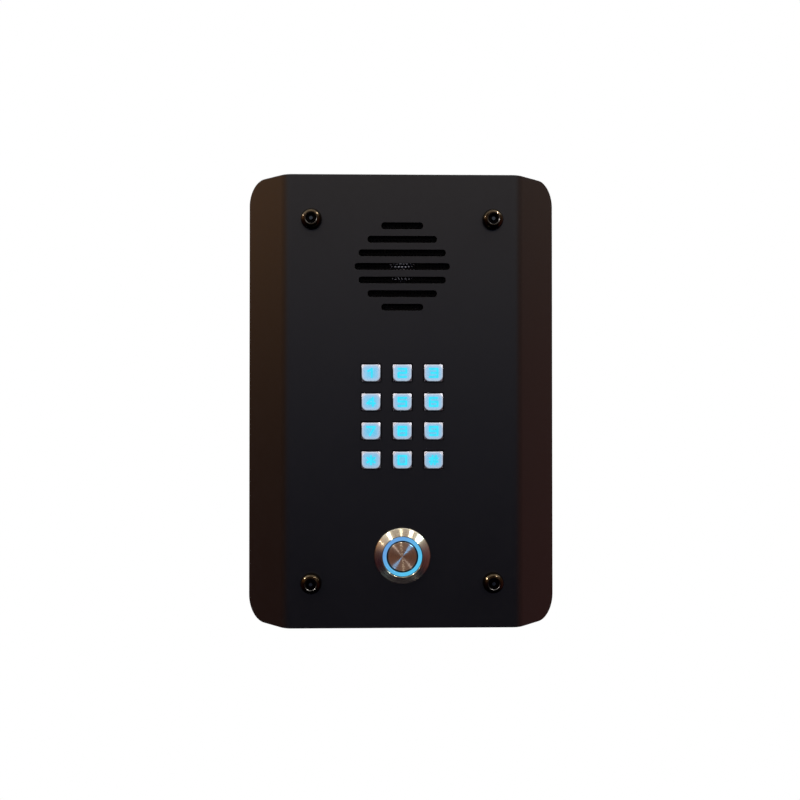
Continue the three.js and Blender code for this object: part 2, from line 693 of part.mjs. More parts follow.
place("keypad_ribbon", ribbonCable(), materials.ribbon);
place("speaker_lead", tube(speakerRoute, 1.2, 14), materials.leadJacket);
place("button_lead", tube(buttonRoute, 1.5, 18), materials.leadJacket);
place("microphone_lead", tube(microphoneRoute, 1, 18), materials.leadJacket);

export default panel;
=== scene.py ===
"""Looks for the door intercom panel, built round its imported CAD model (Blender 4.5).

Shapes are drawn in millimetres as (x, depth, z), where depth is measured back from the front plate's face.
TO_FRAME takes them to the CAD frame: metres, +Z up, front facing -Y.
"""

import json
import math

import bmesh
import bpy
from mathutils import Matrix, Vector


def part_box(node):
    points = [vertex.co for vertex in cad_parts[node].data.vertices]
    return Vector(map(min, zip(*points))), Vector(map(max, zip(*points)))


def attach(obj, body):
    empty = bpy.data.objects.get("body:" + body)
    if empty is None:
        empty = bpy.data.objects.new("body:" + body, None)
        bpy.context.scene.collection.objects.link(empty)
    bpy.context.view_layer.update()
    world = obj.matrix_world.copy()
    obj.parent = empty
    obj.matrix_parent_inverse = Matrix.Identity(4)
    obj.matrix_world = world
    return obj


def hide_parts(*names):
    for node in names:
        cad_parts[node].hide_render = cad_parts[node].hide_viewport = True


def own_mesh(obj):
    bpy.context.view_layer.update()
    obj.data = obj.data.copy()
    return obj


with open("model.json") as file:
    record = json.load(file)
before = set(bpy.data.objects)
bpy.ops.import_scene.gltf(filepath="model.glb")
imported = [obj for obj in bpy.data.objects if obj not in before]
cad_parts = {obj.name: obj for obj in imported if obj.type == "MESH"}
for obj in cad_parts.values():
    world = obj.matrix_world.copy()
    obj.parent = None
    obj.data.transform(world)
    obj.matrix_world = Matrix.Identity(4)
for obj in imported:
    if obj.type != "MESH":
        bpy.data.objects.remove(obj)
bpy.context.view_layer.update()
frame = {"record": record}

MM = 0.001
FRONT_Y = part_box("front_plate")[0].y
TO_FRAME = Matrix.Translation((0, FRONT_Y, 0)) @ Matrix.Scale(MM, 4)
TO_DRAWING = TO_FRAME.inverted()
BODY_OF = {node: body for body, nodes in frame["record"]["behaviour"]["bodies"].items() for node in nodes}
CORNERS = {
    "top_left": (-1, 1),
    "top_right": (1, 1),
    "bottom_left": (-1, -1),
    "bottom_right": (1, -1),
}


def extent(node):
    """Lowest and highest corners of a CAD node, in drawing millimetres."""
    low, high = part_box(node)
    return TO_DRAWING @ low, TO_DRAWING @ high


def middle(node):
    low, high = extent(node)
    return (low + high) / 2


def spot(node):
    """A CAD node's lowest and highest corners, and the x and z of its middle."""
    low, high = extent(node)
    return low, high, (low.x + high.x) / 2, (low.z + high.z) / 2


SHEET = 2.0
FLAT_HALF_WIDTH = 51.5
WING = 26.0
FOLD = math.radians(45)
FOLD_RADIUS = 7.0
WING_CORNER = 11.0
SHEET_EDGE = 0.32
HOLE_EDGE = 0.07

KEYS = ("1", "2", "3", "4", "5", "6", "7", "8", "9", "star", "0", "hash")
KEY_PLACES = {key: middle(f"key_{key}") for key in KEYS}
KEY_SIZE = (8.3, 7.5)
KEY_PROUD = 1.8
KEY_CORNER = 2.3
KEY_GAP = 0.42
FLANGE_SIZE = (10.4, 9.6)
PLUNGER_WIDTH = 3.6

SPEAKER_Z = middle("speaker_guard").z
SPEAKER_RADIUS = 24
SLOT_LENGTHS = (18.4, 30.6, 38.4, 42.0, 38.4, 30.6, 18.4)
SLOT_PITCH = 6.0
SLOT_HEIGHT = 3.0
SLOT_CORNER = 1.3

BUTTON_Z = middle("button_bezel").z
BUTTON_PROUD = 2.5
BUTTON_RADIUS = 12.3
BARREL_RADIUS = 10.9
BARREL_PITCH = 1.0
BUTTON_HOLE = 11.15

COVER_SCREW_HOLE = 2.75
COVER_SCREW_HEAD = 4.65
COVER_SCREW_SHANK = 2.5

SMALLEST_RADIUS = 0.02
# Points of a carved body that lie closer together than this are one point.
WELD = 0.0005
# Edges that turn more than this are sharp, and a face whose normal runs this much along the depth is level.
SHARPEST = math.radians(30)
LEVEL = 0.99999


# ---------------- outlines, as functions of how far they draw in


def angles(count):
    """Evenly spaced angles round a circle."""
    return [2 * math.pi * i / count for i in range(count)]


def rounded_rectangle(width, height, radius, x=0.0, z=0.0, steps=6):
    def points(inset=0.0):
        r = max(radius - inset, SMALLEST_RADIUS)
        half_w, half_h = width / 2 - inset - r, height / 2 - inset - r
        outline = []
        for quarter, (side, end) in enumerate(((1, 1), (-1, 1), (-1, -1), (1, -1))):
            for i in range(steps + 1):
                turn = math.pi / 2 * (quarter + i / steps)
                across, up = side * half_w, end * half_h
                outline.append((x + across + r * math.cos(turn), z + up + r * math.sin(turn)))
        return outline

    return points


def circle(radius, x=0.0, z=0.0, sides=48, turn=0.0):
    def points(inset=0.0):
        r = radius - inset
        return [(x + r * math.cos(t + turn), z + r * math.sin(t + turn)) for t in angles(sides)]

    return points


def corner_circles(node, radius, sides):
    """A circle round the middle of each of four CAD nodes, one for each corner."""
    places = (middle(f"{node}_{corner}") for corner in CORNERS)
    return [circle(radius, place.x, place.z, sides) for place in places]


def filleted(points, radius, closed=True):
    """The corners of a polygon, or of an open line, turned into smooth curves."""
    steps = 4
    count = len(points)
    result = []
    for i, point in enumerate(points):
        corner = Vector(point)
        if not closed and i in (0, count - 1):
            result.append(tuple(corner))
            continue
        to_last = Vector(points[i - 1]) - corner
        to_next = Vector(points[(i + 1) % count]) - corner
        bend = math.pi - to_last.angle(to_next)
        reach = min(radius * math.tan(bend / 2), 0.45 * to_last.length, 0.45 * to_next.length)
        if reach < 1e-4:
            result.append(tuple(corner))
            continue
        start = corner + to_last.normalized() * reach
        end = corner + to_next.normalized() * reach
        for k in range(steps + 1):
            t = k / steps
            result.append(tuple(start * (1 - t) ** 2 + corner * (2 * t * (1 - t)) + end * t * t))
    return result


def side_profile(thickness, radius):
    """(inset, depth) steps down the side of a sheet whose edges are rounded."""
    turns = [math.pi / 8 * i for i in range(5)]
    front = [(radius * (1 - math.sin(t)), radius * (1 - math.cos(t))) for t in turns]
    back = [(radius * (1 - math.cos(t)), thickness - radius * (1 - math.sin(t))) for t in turns]
    return front + back


# ---------------- skins


def ring(bm, outline, depth):
    """Vertices along an outline, at one depth or at a depth for each."""
    depths = depth if isinstance(depth, list) else [depth] * len(outline)
    return [bm.verts.new((x, y, z)) for (x, z), y in zip(outline, depths)]


def wall(bm, rings):
    """Faces between each ring and the next. A ring may be a single vertex."""
    for near, far in zip(rings, rings[1:]):
        count = max(len(near), len(far))
        for i in range(count):
            j = (i + 1) % count
            corners = near[i % len(near)], near[j % len(near)], far[j % len(far)], far[i % len(far)]
            corners = list(dict.fromkeys(corners))
            if len(corners) > 2:
                bm.faces.new(corners)


def fill(bm, *rings):
    """A flat face inside the first ring and outside the others."""
    edges = []
    for loop in rings:
        for a, b in zip(loop, loop[1:] + loop[:1]):
            edges.append(bm.edges.get((a, b)) or bm.edges.new((a, b)))
    bmesh.ops.triangle_fill(bm, use_beauty=True, edges=edges)


def sheet(outer, holes, profile, depth=0.0, hole_profile=None):
    """A plate with holes. The profiles are (inset, depth) steps, down its own sides and down its holes'."""
    bm = bmesh.new()
    fronts, backs = [], []
    edges = [(outer, 1, profile)] + [(hole, -1, hole_profile or profile) for hole in holes]
    for outline, sign, steps in edges:
        rings = [ring(bm, outline(sign * inset), depth + step) for inset, step in steps]
        wall(bm, rings)
        fronts.append(rings[0])
        backs.append(rings[-1])
    fill(bm, *fronts)
    fill(bm, *backs)
    return bm


def loft(sections):
    """A closed body through (outline, depth) sections that have equal numbers of points."""
    bm = bmesh.new()
    rings = [ring(bm, outline, depth) for outline, depth in sections]
    wall(bm, rings)
    bm.faces.new(rings[0])
    bm.faces.new(rings[-1])
    return bm


def disc(radius, front, back):
    """The section of a plain round body."""
    return [(0, front), (radius, front), (radius, back), (0, back)]


def turned(section, x=0.0, z=0.0, sides=96):
    """A body of revolution about the line through (x, z) along Y. Its section is (radius, depth) points: it
    starts and ends on the axis, or else it closes on itself."""
    bm = bmesh.new()
    rings = []
    for radius, depth in section:
        outline = [(x, z)] if radius < 1e-6 else circle(radius, x, z, sides)()
        rings.append(ring(bm, outline, depth))
    if len(rings[0]) > 1:
        rings.append(rings[0])
    wall(bm, rings)
    return bm


def block(low, high, radius=0.25, steps=2):
    """A box with rounded edges, from its lowest to its highest corner."""
    bm = bmesh.new()
    bmesh.ops.create_cube(bm, size=1)
    low, high = Vector(low), Vector(high)
    size = high - low
    for vertex in bm.verts:
        vertex.co = low + Vector(((c + 0.5) * s for c, s in zip(vertex.co, size)))
    bmesh.ops.bevel(bm, geom=bm.edges[:], offset=radius, segments=steps, profile=0.5, affect="EDGES")
    return bm


def smooth_line(route, steps=8):
    """A Catmull-Rom line through the route's points."""
    points = [Vector(p) for p in route]
    points = [2 * points[0] - points[1]] + points + [2 * points[-1] - points[-2]]
    line = []
    for a, b, c, d in zip(points, points[1:], points[2:], points[3:]):
        for k in range(steps):
            t = k / steps
            bend = (2 * a - 5 * b + 4 * c - d) * t**2 + (3 * b - a - 3 * c + d) * t**3
            line.append(0.5 * (2 * b + (c - a) * t + bend))
    return line + [points[-2]]


def along_line(line):
    """Each point of a line, with two directions there that are square to the line and to each other."""
    across = None
    for i, point in enumerate(line):
        along = (line[min(i + 1, len(line) - 1)] - line[max(i - 1, 0)]).normalized()
        if across is None:
            across = along.orthogonal().normalized()
        across = (across - along * across.dot(along)).normalized()
        yield point, across, along.cross(across)


def tube(line, radius, sides):
    """A round tube along a line, with flat ends."""
    bm = bmesh.new()
    rings = []
    for point, across, up in along_line([Vector(p) for p in line]):
        spokes = [across * math.cos(t) + up * math.sin(t) for t in angles(sides)]
        rings.append([bm.verts.new(point + radius * spoke) for spoke in spokes])
    wall(bm, rings)
    fill(bm, rings[0])
    fill(bm, rings[-1])
    return bm


def together(*bodies):
    """Several bodies in one mesh."""
    whole = bodies[0]
    for body in bodies[1:]:
        scratch = bpy.data.meshes.new("scratch")
        body.to_mesh(scratch)
        whole.from_mesh(scratch)
        bpy.data.meshes.remove(scratch)
        body.free()
    return whole


def blocks(*boxes, radius=0.12):
    """Boxes in one mesh, given as their lowest and highest corners, with one small chamfer on each edge."""
    return together(*(block(low, high, radius, 1) for low, high in boxes))


def shade(bm):
    """Smooth shading, sharp at corners and round each level face."""
    bmesh.ops.recalc_face_normals(bm, faces=bm.faces)
    for face in bm.faces:
        face.smooth = True
    for edge in bm.edges:
        if len(edge.link_faces) == 2:
            a, b = (face.normal for face in edge.link_faces)
            same_level = (abs(a.y) > LEVEL) == (abs(b.y) > LEVEL)
            edge.smooth = a.dot(b) > math.cos(SHARPEST) and same_level


# ---------------- objects


def linked(name, data):
    """An object of the scene, for a mesh, a camera or a light."""
    obj = bpy.data.objects.new(name, data)
    bpy.context.scene.collection.objects.link(obj)
    return obj


def solid(name, bm):
    """A drawn body as an object in the CAD frame."""
    bm.transform(TO_FRAME)
    mesh = bpy.data.meshes.new(name)
    bm.to_mesh(mesh)
    bm.free()
    return linked(name, mesh)


def carve(obj, bm, material_index=0, overlapping=False):
    """Cuts a body out of a piece. The new faces take the piece's material of that index. The parts of the
    body may overlap, if it says so."""
    for face in bm.faces:
        face.material_index = material_index
    bmesh.ops.recalc_face_normals(bm, faces=bm.faces)
    cutter = solid("cutter", bm)
    modifier = obj.modifiers.new("carve", "BOOLEAN")
    modifier.operation = "DIFFERENCE"
    modifier.solver = "EXACT"
    modifier.use_self = overlapping
    modifier.material_mode = "INDEX"
    modifier.object = cutter
    carved = bpy.data.meshes.new_from_object(obj.evaluated_get(bpy.context.evaluated_depsgraph_get()))
    obj.modifiers.remove(modifier)
    bpy.data.objects.remove(cutter)
    result = bmesh.new()
    result.from_mesh(carved)
    # The cut can leave a sliver open where three faces meet.
    if any(edge.is_boundary for edge in result.edges):
        bmesh.ops.remove_doubles(result, verts=result.verts, dist=WELD * MM)
        bmesh.ops.holes_fill(result, edges=[edge for edge in result.edges if edge.is_boundary], sides=4)
    shade(result)
    result.to_mesh(obj.data)
    result.free()


# What some of the lamps light, by the start of the pieces' names.
LIT_BY_LAMPS = {
    "bezel": "turned_button_bezel",
    "cap": "turned_button_cap",
    "screws": "button_head_screw",
    "keys": "metal_key",
    "dust_cap": "speaker_dust_cap",
}
LAMP_TARGETS = {name: bpy.data.collections.new(name) for name in LIT_BY_LAMPS}


def belongs(obj, materials, node):
    """Gives a piece its materials, and the body of the CAD node that it is part of."""
    for material in materials if isinstance(materials, list) else [materials]:
        obj.data.materials.append(material)
    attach(obj, BODY_OF[node])
    for target, start in LIT_BY_LAMPS.items():
        if obj.name.startswith(start):
            LAMP_TARGETS[target].objects.link(obj)
    return obj


def extra(name, bm, materials, node):
    """A finished piece that is part of a CAD node, beside the one that stands for the node."""
    shade(bm)
    return belongs(solid(name, bm), materials, node)


def piece(name, bm, materials, node):
    """A finished piece that stands for a CAD node."""
    obj = extra(name, bm, materials, node)
    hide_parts(node)
    return obj


# ---------------- materials


class Tree:
    """A node tree. An input takes a value, a colour or another node's output."""

    def __init__(self, owner):
        owner.use_nodes = True
        self.nodes = owner.node_tree.nodes
        self.links = owner.node_tree.links

    def give(self, socket, value):
        if isinstance(value, bpy.types.NodeSocket):
            self.links.new(value, socket)
        else:
            socket.default_value = (*value, 1) if socket.type == "RGBA" else value

    def set(self, node, **inputs):
        for key, value in inputs.items():
            self.give(node.inputs[key.replace("_", " ")], value)

    def add(self, kind, *values, **inputs):
        """A new node. The values go to its first inputs, and the rest to the inputs of those names."""
        node = self.nodes.new("ShaderNode" + kind)
        for socket, value in zip(node.inputs, values):
            self.give(socket, value)
        self.set(node, **inputs)
        return node

    def math(self, operation, *values):
        node = self.add("Math", *values)
        node.operation = operation
        return node.outputs[0]

    def ramp(self, value, low, high, start=0.3, end=0.7):
        """value's stretch from start to end, turned into low to high."""
        return self.add("MapRange", value, start, end, low, high).outputs["Result"]

    def mix(self, factor, a, b):
        """Colour a where factor is 0, and b where it is 1."""
        node = self.add("Mix")
        node.data_type = "RGBA"
        self.give(node.inputs[0], factor)
        for socket, color in zip([i for i in node.inputs if i.type == "RGBA"], (a, b)):
            self.give(socket, color)
        return next(socket for socket in node.outputs if socket.type == "RGBA")


class Finish(Tree):
    """A procedural material: a Principled shader under layers of noise, measured in millimetres."""

    def __init__(self, name, color, roughness, metallic=0.0, **inputs):
        self.material = bpy.data.materials.new(name)
        super().__init__(self.material)
        self.color = color
        self.shader = self.nodes["Principled BSDF"]
        self.set(self.shader, Base_Color=color, Roughness=roughness, Metallic=metallic, **inputs)
        self.place = self.add("TexCoord").outputs["Object"]
        self.normal = None

    def noise(self, size, detail=3.0, offset=0.0):
        """Noise whose blobs are about size millimetres across."""
        moved = self.add("Mapping", self.place, (offset, offset, offset)).outputs["Vector"]
        return self.add("TexNoise", moved, Scale=1 / (size * MM), Detail=detail).outputs["Fac"]

    def cells(self, size):
        """A pattern of cells about size millimetres across."""
        return self.add("TexVoronoi", self.place, Scale=1 / (size * MM))

    def from_centre(self, x, z):
        """How far a point lies across, up and outward from (x, z), in metres."""
        split = self.add("SeparateXYZ", self.place)
        across = self.math("SUBTRACT", split.outputs["X"], x * MM)
        up = self.math("SUBTRACT", split.outputs["Z"], z * MM)
        squares = self.math("ADD", self.math("MULTIPLY", across, across), self.math("MULTIPLY", up, up))
        return across, up, self.math("SQRT", squares)

    def near_front(self, proud, start, end):
        """1 on a face that stands proud of the plate, down to 0 between two depths behind that face."""
        y = self.add("SeparateXYZ", self.place).outputs["Y"]
        face = FRONT_Y - proud * MM
        return self.ramp(y, 1, 0, face + start * MM, face + end * MM)

    def mottled(self, size, other, strength=1.0):
        """Patches of another colour."""
        base = self.shader.inputs["Base Color"]
        under = base.links[0].from_socket if base.links else self.color
        self.give(base, self.mix(self.ramp(self.noise(size), 0, strength), under, other))
        return self

    def uneven(self, size, low, high):
        """Roughness that varies from low to high."""
        self.set(self.shader, Roughness=self.ramp(self.noise(size), low, high))
        return self

    def raised(self, height, distance, strength=1.0):
        """A bump from a height value."""
        bump = self.add("Bump", Height=height, Distance=distance * MM, Strength=strength)
        if self.normal:
            self.set(bump, Normal=self.normal)
        self.normal = bump.outputs["Normal"]
        self.set(self.shader, Normal=self.normal)
        return self

    def grained(self, size, distance, strength=0.5, offset=0.0):
        return self.raised(self.noise(size, offset=offset), distance, strength)

    def glowing(self, color, strength):
        self.set(self.shader, Emission_Color=color, Emission_Strength=strength)
        return self


def tinted(color, factor):
    return tuple(factor * c for c in color)


def powder_coat():
    finish = Finish("powder_coat", (0.0021, 0.0020, 0.0029), 0.37)
    finish.mottled(9, (0.0034, 0.0032, 0.0043), 0.6).uneven(3, 0.35, 0.39)
    return finish.grained(0.9, 0.012, 0.3).grained(0.22, 0.006, 0.3, offset=3).material


def moulded(name, color, roughness=0.6, grain=0.35):
    finish = Finish(name, color, roughness)
    finish.mottled(14, tinted(color, 1.35), 0.7).uneven(2.5, roughness - 0.07, roughness + 0.07)
    return finish.grained(grain, 0.03, 0.5).material


def foam():
    finish = Finish("closed_cell_foam", (0.011, 0.011, 0.012), 0.95).mottled(1.2, (0.022, 0.022, 0.023))
    return finish.raised(finish.cells(0.45).outputs["Distance"], 0.12, 0.8).material


def rubber():
    color = (0.014, 0.014, 0.015)
    finish = Finish("black_rubber", color, 0.75, Sheen_Weight=0.08)
    finish.mottled(5, tinted(color, 1.6), 0.6).uneven(1.5, 0.66, 0.84)
    return finish.grained(0.3, 0.02, 0.4).material


def black_oxide():
    finish = Finish("black_oxide", (0.025, 0.0175, 0.010), 0.17, 1.0)
    finish.mottled(1.2, (0.048, 0.034, 0.020), 0.8).uneven(0.9, 0.13, 0.24)
    return finish.grained(0.25, 0.006, 0.3).material


def plain_metal(name, color, roughness=0.3):
    finish = Finish(name, color, roughness, 1.0)
    finish.mottled(2.2, tinted(color, 0.78), 0.8)
    finish.uneven(0.8, roughness - 0.08, roughness + 0.08)
    return finish.grained(0.35, 0.008, 0.4).material


def turned_metal(name, color, roughness, groove=0.16):
    """Metal turned on a lathe about the button's axis: fine rings, and highlights that run across them."""
    finish = Finish(name, color, roughness, 1.0, Anisotropic=1.0)
    across, up, radius = finish.from_centre(0, BUTTON_Z)
    outward = finish.add("CombineXYZ", X=across, Z=up).outputs[0]
    unit = finish.add("VectorMath", outward)
    unit.operation = "NORMALIZE"
    rings = finish.add("TexNoise", Scale=1 / (groove * MM), Detail=4)
    rings.noise_dimensions = "1D"
    finish.set(rings, W=radius)
    fine_rings = rings.outputs["Fac"]
    rough = finish.ramp(fine_rings, roughness - 0.05, roughness + 0.06)
    finish.set(finish.shader, Tangent=unit.outputs[0], Roughness=rough)
    return finish.mottled(3, tinted(color, 0.82), 0.6).raised(fine_rings, 0.004, 0.3).material


def flicker(finish, size, low, high):
    """A strength of light that varies a little from place to place."""
    return finish.ramp(finish.noise(size, detail=1), low, high)


def legend_light():
    """Translucent plastic with light behind it."""
    finish = Finish("legend_light", (0.02, 0.10, 0.12), 0.35)
    finish.glowing((0.035, 0.73, 0.93), flicker(finish, 2.0, 0.92, 1.06))
    return finish.grained(0.4, 0.01, 0.3).material


def circuit_board():
    """Green solder mask over raised copper tracks."""
    mask, covered_track = (0.004, 0.050, 0.020), (0.010, 0.105, 0.040)
    finish = Finish("solder_mask", mask, 0.3)
    cells = finish.cells(2.2)
    cells.feature = "DISTANCE_TO_EDGE"
    finish.set(cells, Randomness=0.45)
    track = finish.ramp(cells.outputs["Distance"], 1, 0, 0.06, 0.10)
    finish.set(finish.shader, Base_Color=finish.mix(track, mask, covered_track))
    return finish.raised(track, 0.04, 0.6).grained(0.4, 0.01).material


def ring_light():
    """The button's ring: sky blue on one side, and nearer cyan on the other."""
    sky_blue, cyan = (0.125, 0.325, 0.67), (0.080, 0.50, 0.78)
    finish = Finish("ring_light", (0.02, 0.06, 0.10), 0.3)
    across, up, _ = finish.from_centre(0, BUTTON_Z)
    side = finish.ramp(finish.math("SUBTRACT", across, up), 0, 1, -9 * MM, 9 * MM)
    on_face = finish.near_front(BUTTON_PROUD, 0.08, 0.3)
    lit = finish.math("MULTIPLY", flicker(finish, 2.5, 0.97, 1.04), on_face)
    return finish.glowing(finish.mix(side, sky_blue, cyan), lit).grained(0.4, 0.01, 0.3).material


def key_metal_with_painted_glow(name, x, z):
    """Satin plated metal of a key, with painted glow on its face, blue round its legend, and a paler painted
    reflection towards its edge.
    """
    middle_painted_glow, edge_painted_glow, rim_painted_reflection = (0.02, 0.45, 0.68), (0.17, 0.42, 0.61), (0.31, 0.40, 0.50)
    finish = Finish(name, (0.50, 0.51, 0.56), 0.3, 0.8)
    across, up, _ = finish.from_centre(x, z)
    powers = []
    for value, size in zip((across, up), KEY_SIZE):
        share = finish.math("DIVIDE", value, size / 2 * MM)
        powers.append(finish.math("POWER", finish.math("ABSOLUTE", share), 4))
    outward = finish.math("POWER", finish.math("ADD", *powers), 0.25)
    painted_glow = finish.mix(finish.ramp(outward, 0, 1, 0.35, 0.72), middle_painted_glow, edge_painted_glow)
    painted_glow = finish.mix(finish.ramp(outward, 0, 1, 0.70, 0.92), painted_glow, rim_painted_reflection)
    # Painted glow and painted reflection: the metal face itself gives off light, only where it stands proud
    # of the plate.
    finish.glowing(painted_glow, finish.near_front(KEY_PROUD, 0.10, 0.26))
    finish.mottled(2.5, (0.44, 0.46, 0.52), 0.6).uneven(1.2, 0.25, 0.36)
    return finish.grained(0.3, 0.006, 0.4).material


POWDER_COAT = powder_coat()
BOX_PLASTIC = moulded("box_plastic", (0.020, 0.020, 0.022))
BLACK_PLASTIC = moulded("black_plastic", (0.018, 0.018, 0.020), 0.5)
FOAM = foam()
RUBBER = rubber()
BLACK_OXIDE = black_oxide()
GUARD_BLACK = Finish("guard_black", (0.0015, 0.0014, 0.002), 0.7, Specular_IOR_Level=0.1)
GUARD_BLACK = GUARD_BLACK.uneven(2, 0.65, 0.75).material
LEGEND_LIGHT = legend_light()
RING_LIGHT = ring_light()
# A lighter steel for the cover screws' socket rims: partly wear, partly a painted highlight that makes the
# rim shine all round.
WORN_STEEL_AND_PAINTED_HIGHLIGHT = plain_metal("worn_steel_and_painted_highlight", (0.055, 0.051, 0.047), 0.38)
# Near-black for the hollow of each screw's socket, darker than the screw's own black oxide: painted shade.
SOCKET_PAINTED_SHADE = plain_metal("socket_painted_shade", (0.006, 0.005, 0.005), 0.4)
PIN_STEEL = plain_metal("pin_steel", (0.055, 0.068, 0.08), 0.4)
ZINC = plain_metal("zinc_plate", (0.56, 0.57, 0.58), 0.32)
BRASS = plain_metal("turned_brass", (0.72, 0.52, 0.22), 0.3)
SPRING_STEEL = plain_metal("spring_steel", (0.45, 0.45, 0.46), 0.25)
CONE_PAPER = Finish("cone_paper", (0.02, 0.02, 0.021), 0.7)
CONE_PAPER = CONE_PAPER.mottled(3, (0.03, 0.03, 0.03)).grained(0.8, 0.05).material
TINNED = plain_metal("tinned_contacts", (0.62, 0.62, 0.60), 0.3)
SHIELD_CAN = plain_metal("shield_can", (0.60, 0.61, 0.62), 0.26)
FERRITE = moulded("ferrite", (0.030, 0.030, 0.033), 0.55)
SILICONE = moulded("silicone", (0.50, 0.51, 0.52), 0.42, 0.6)
WHITE_NYLON = moulded("white_nylon", (0.62, 0.60, 0.54), 0.5)
RELAY_BLUE = moulded("relay_blue", (0.020, 0.090, 0.34), 0.35)
TERMINAL_GREEN = moulded("terminal_green", (0.020, 0.20, 0.06), 0.45)
CAPACITOR_SLEEVE = moulded("capacitor_sleeve", (0.012, 0.020, 0.080), 0.3)
CHIP_EPOXY = moulded("chip_epoxy", (0.012, 0.012, 0.013), 0.45)
CERAMIC = moulded("ceramic", (0.20, 0.13, 0.07), 0.4)
RIBBON_GREY = moulded("ribbon_grey", (0.30, 0.31, 0.33), 0.5)
LEAD_BLACK = moulded("lead_black", (0.015, 0.015, 0.016), 0.5)
LEAD_RED = moulded("lead_red", (0.36, 0.014, 0.010), 0.5)
SOLDER_MASK = circuit_board()
DUST_CAP = Finish("dust_cap", (0.62, 0.61, 0.64), 0.55)
DUST_CAP = DUST_CAP.mottled(2, (0.5, 0.5, 0.52), 0.5).grained(0.6, 0.03).material
BUTTON_STEEL = turned_metal("turned_steel", (0.58, 0.53, 0.41), 0.25)
CAP_STEEL = turned_metal("turned_cap_steel", (0.33, 0.285, 0.23), 0.23)


# ---------------- front plate

BEND_START = FLAT_HALF_WIDTH - FOLD_RADIUS * math.tan(FOLD / 2)
BEND_LENGTH = FOLD_RADIUS * FOLD
BEND_PARTS = 8
UNFOLDED_HALF_WIDTH = BEND_START + BEND_LENGTH + WING - FOLD_RADIUS * math.tan(FOLD / 2)


def folded(point):
    """Where a point of the flat blank goes when the plate's sides are folded back."""
    past = abs(point.x) - BEND_START
    if past <= 0:
        return point
    turn = min(past / FOLD_RADIUS, FOLD)
    straight = max(past - BEND_LENGTH, 0)
    reach = FOLD_RADIUS - point.y
    x = BEND_START + reach * math.sin(turn) + straight * math.cos(turn)
    depth = FOLD_RADIUS - reach * math.cos(turn) + straight * math.sin(turn)
    return Vector((math.copysign(x, point.x), depth, point.z))


def plate_holes():
    middle_slot = len(SLOT_LENGTHS) // 2
    for i, length in enumerate(SLOT_LENGTHS):
        z = SPEAKER_Z + (middle_slot - i) * SLOT_PITCH
        yield rounded_rectangle(length, SLOT_HEIGHT, SLOT_CORNER, 0, z)
    width, height = (size + 2 * KEY_GAP for size in KEY_SIZE)
    for place in KEY_PLACES.values():
        yield rounded_rectangle(width, height, 0.6, place.x, place.z, 4)
    yield from corner_circles("cover_screw", COVER_SCREW_HOLE, 32)
    yield circle(BUTTON_HOLE, 0, BUTTON_Z, 96)


def front_plate():
    top = extent("front_plate")[1].z
    blank = rounded_rectangle(2 * UNFOLDED_HALF_WIDTH, 2 * top, WING_CORNER, steps=16)
    sides, hole_sides = side_profile(SHEET, SHEET_EDGE), side_profile(SHEET, HOLE_EDGE)
    bm = sheet(blank, list(plate_holes()), sides, 0, hole_sides)
    shade(bm)
    bend_end = BEND_START + BEND_LENGTH
    lines = [BEND_START + BEND_LENGTH * i / BEND_PARTS for i in range(BEND_PARTS + 1)]
    for line in [BEND_START - 0.3] + lines + [bend_end + 0.3]:
        for side in (-1, 1):
            geometry = bm.verts[:] + bm.edges[:] + bm.faces[:]
            bmesh.ops.bisect_plane(bm, geom=geometry, plane_co=(side * line, 0, 0), plane_no=(side, 0, 0))
    sharp = [edge for edge in bm.edges if not edge.smooth]
    for vertex in bm.verts:
        vertex.co = folded(vertex.co)
    bmesh.ops.recalc_face_normals(bm, faces=bm.faces)
    for edge in sharp:
        edge.smooth = False
    plate = belongs(solid("folded_front_plate", bm), POWDER_COAT, "front_plate")
    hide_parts("front_plate")


front_plate()


# ---------------- keys

# Centre lines of the legends, on a square from -1 to 1.
LEGENDS = {
    "1": [[(-0.7, 0.45), (0.2, 1), (0.2, -1)]],
    "2": [[(-1, 1), (1, 1), (1, 0), (-1, 0), (-1, -1), (1, -1)]],
    "3": [[(-1, 1), (1, 1), (1, -1), (-1, -1)], [(-0.6, 0), (0.9, 0)]],
    "4": [[(0.5, -1), (0.5, 1), (-1, -0.35), (1, -0.35)]],
    "5": [[(1, 1), (-1, 1), (-1, 0.1), (1, 0.1), (1, -1), (-1, -1)]],
    "6": [[(0.9, 1), (-1, 1), (-1, -1), (1, -1), (1, 0), (-1, 0)]],
    "7": [[(-1, 1), (1, 1), (-0.3, -1)]],
    "8": [[(-1, 1), (1, 1), (1, -1), (-1, -1), (-1, 1)], [(-1, 0), (1, 0)]],
    "9": [[(1, 0), (-1, 0), (-1, 1), (1, 1), (1, -1), (-0.9, -1)]],
    "star": [[(0, 1), (0, -1)], [(-0.95, 0.55), (0.95, -0.55)], [(-0.95, -0.55), (0.95, 0.55)]],
    "0": [[(-1, 1), (1, 1), (1, -1), (-1, -1), (-1, 1)]],
    "hash": [
        [(-0.25, 1), (-0.65, -1)],
        [(0.65, 1), (0.25, -1)],
        [(-1, 0.4), (1, 0.4)],
        [(-1, -0.4), (1, -0.4)],
    ],
}
LEGEND_HALF_SIZE = (1.7, 1.8)
STROKE = 0.92
ENGRAVING = 0.18
SHOULDER_SLOPE = math.radians(29)
SHOULDER_DEPTH = -1.15


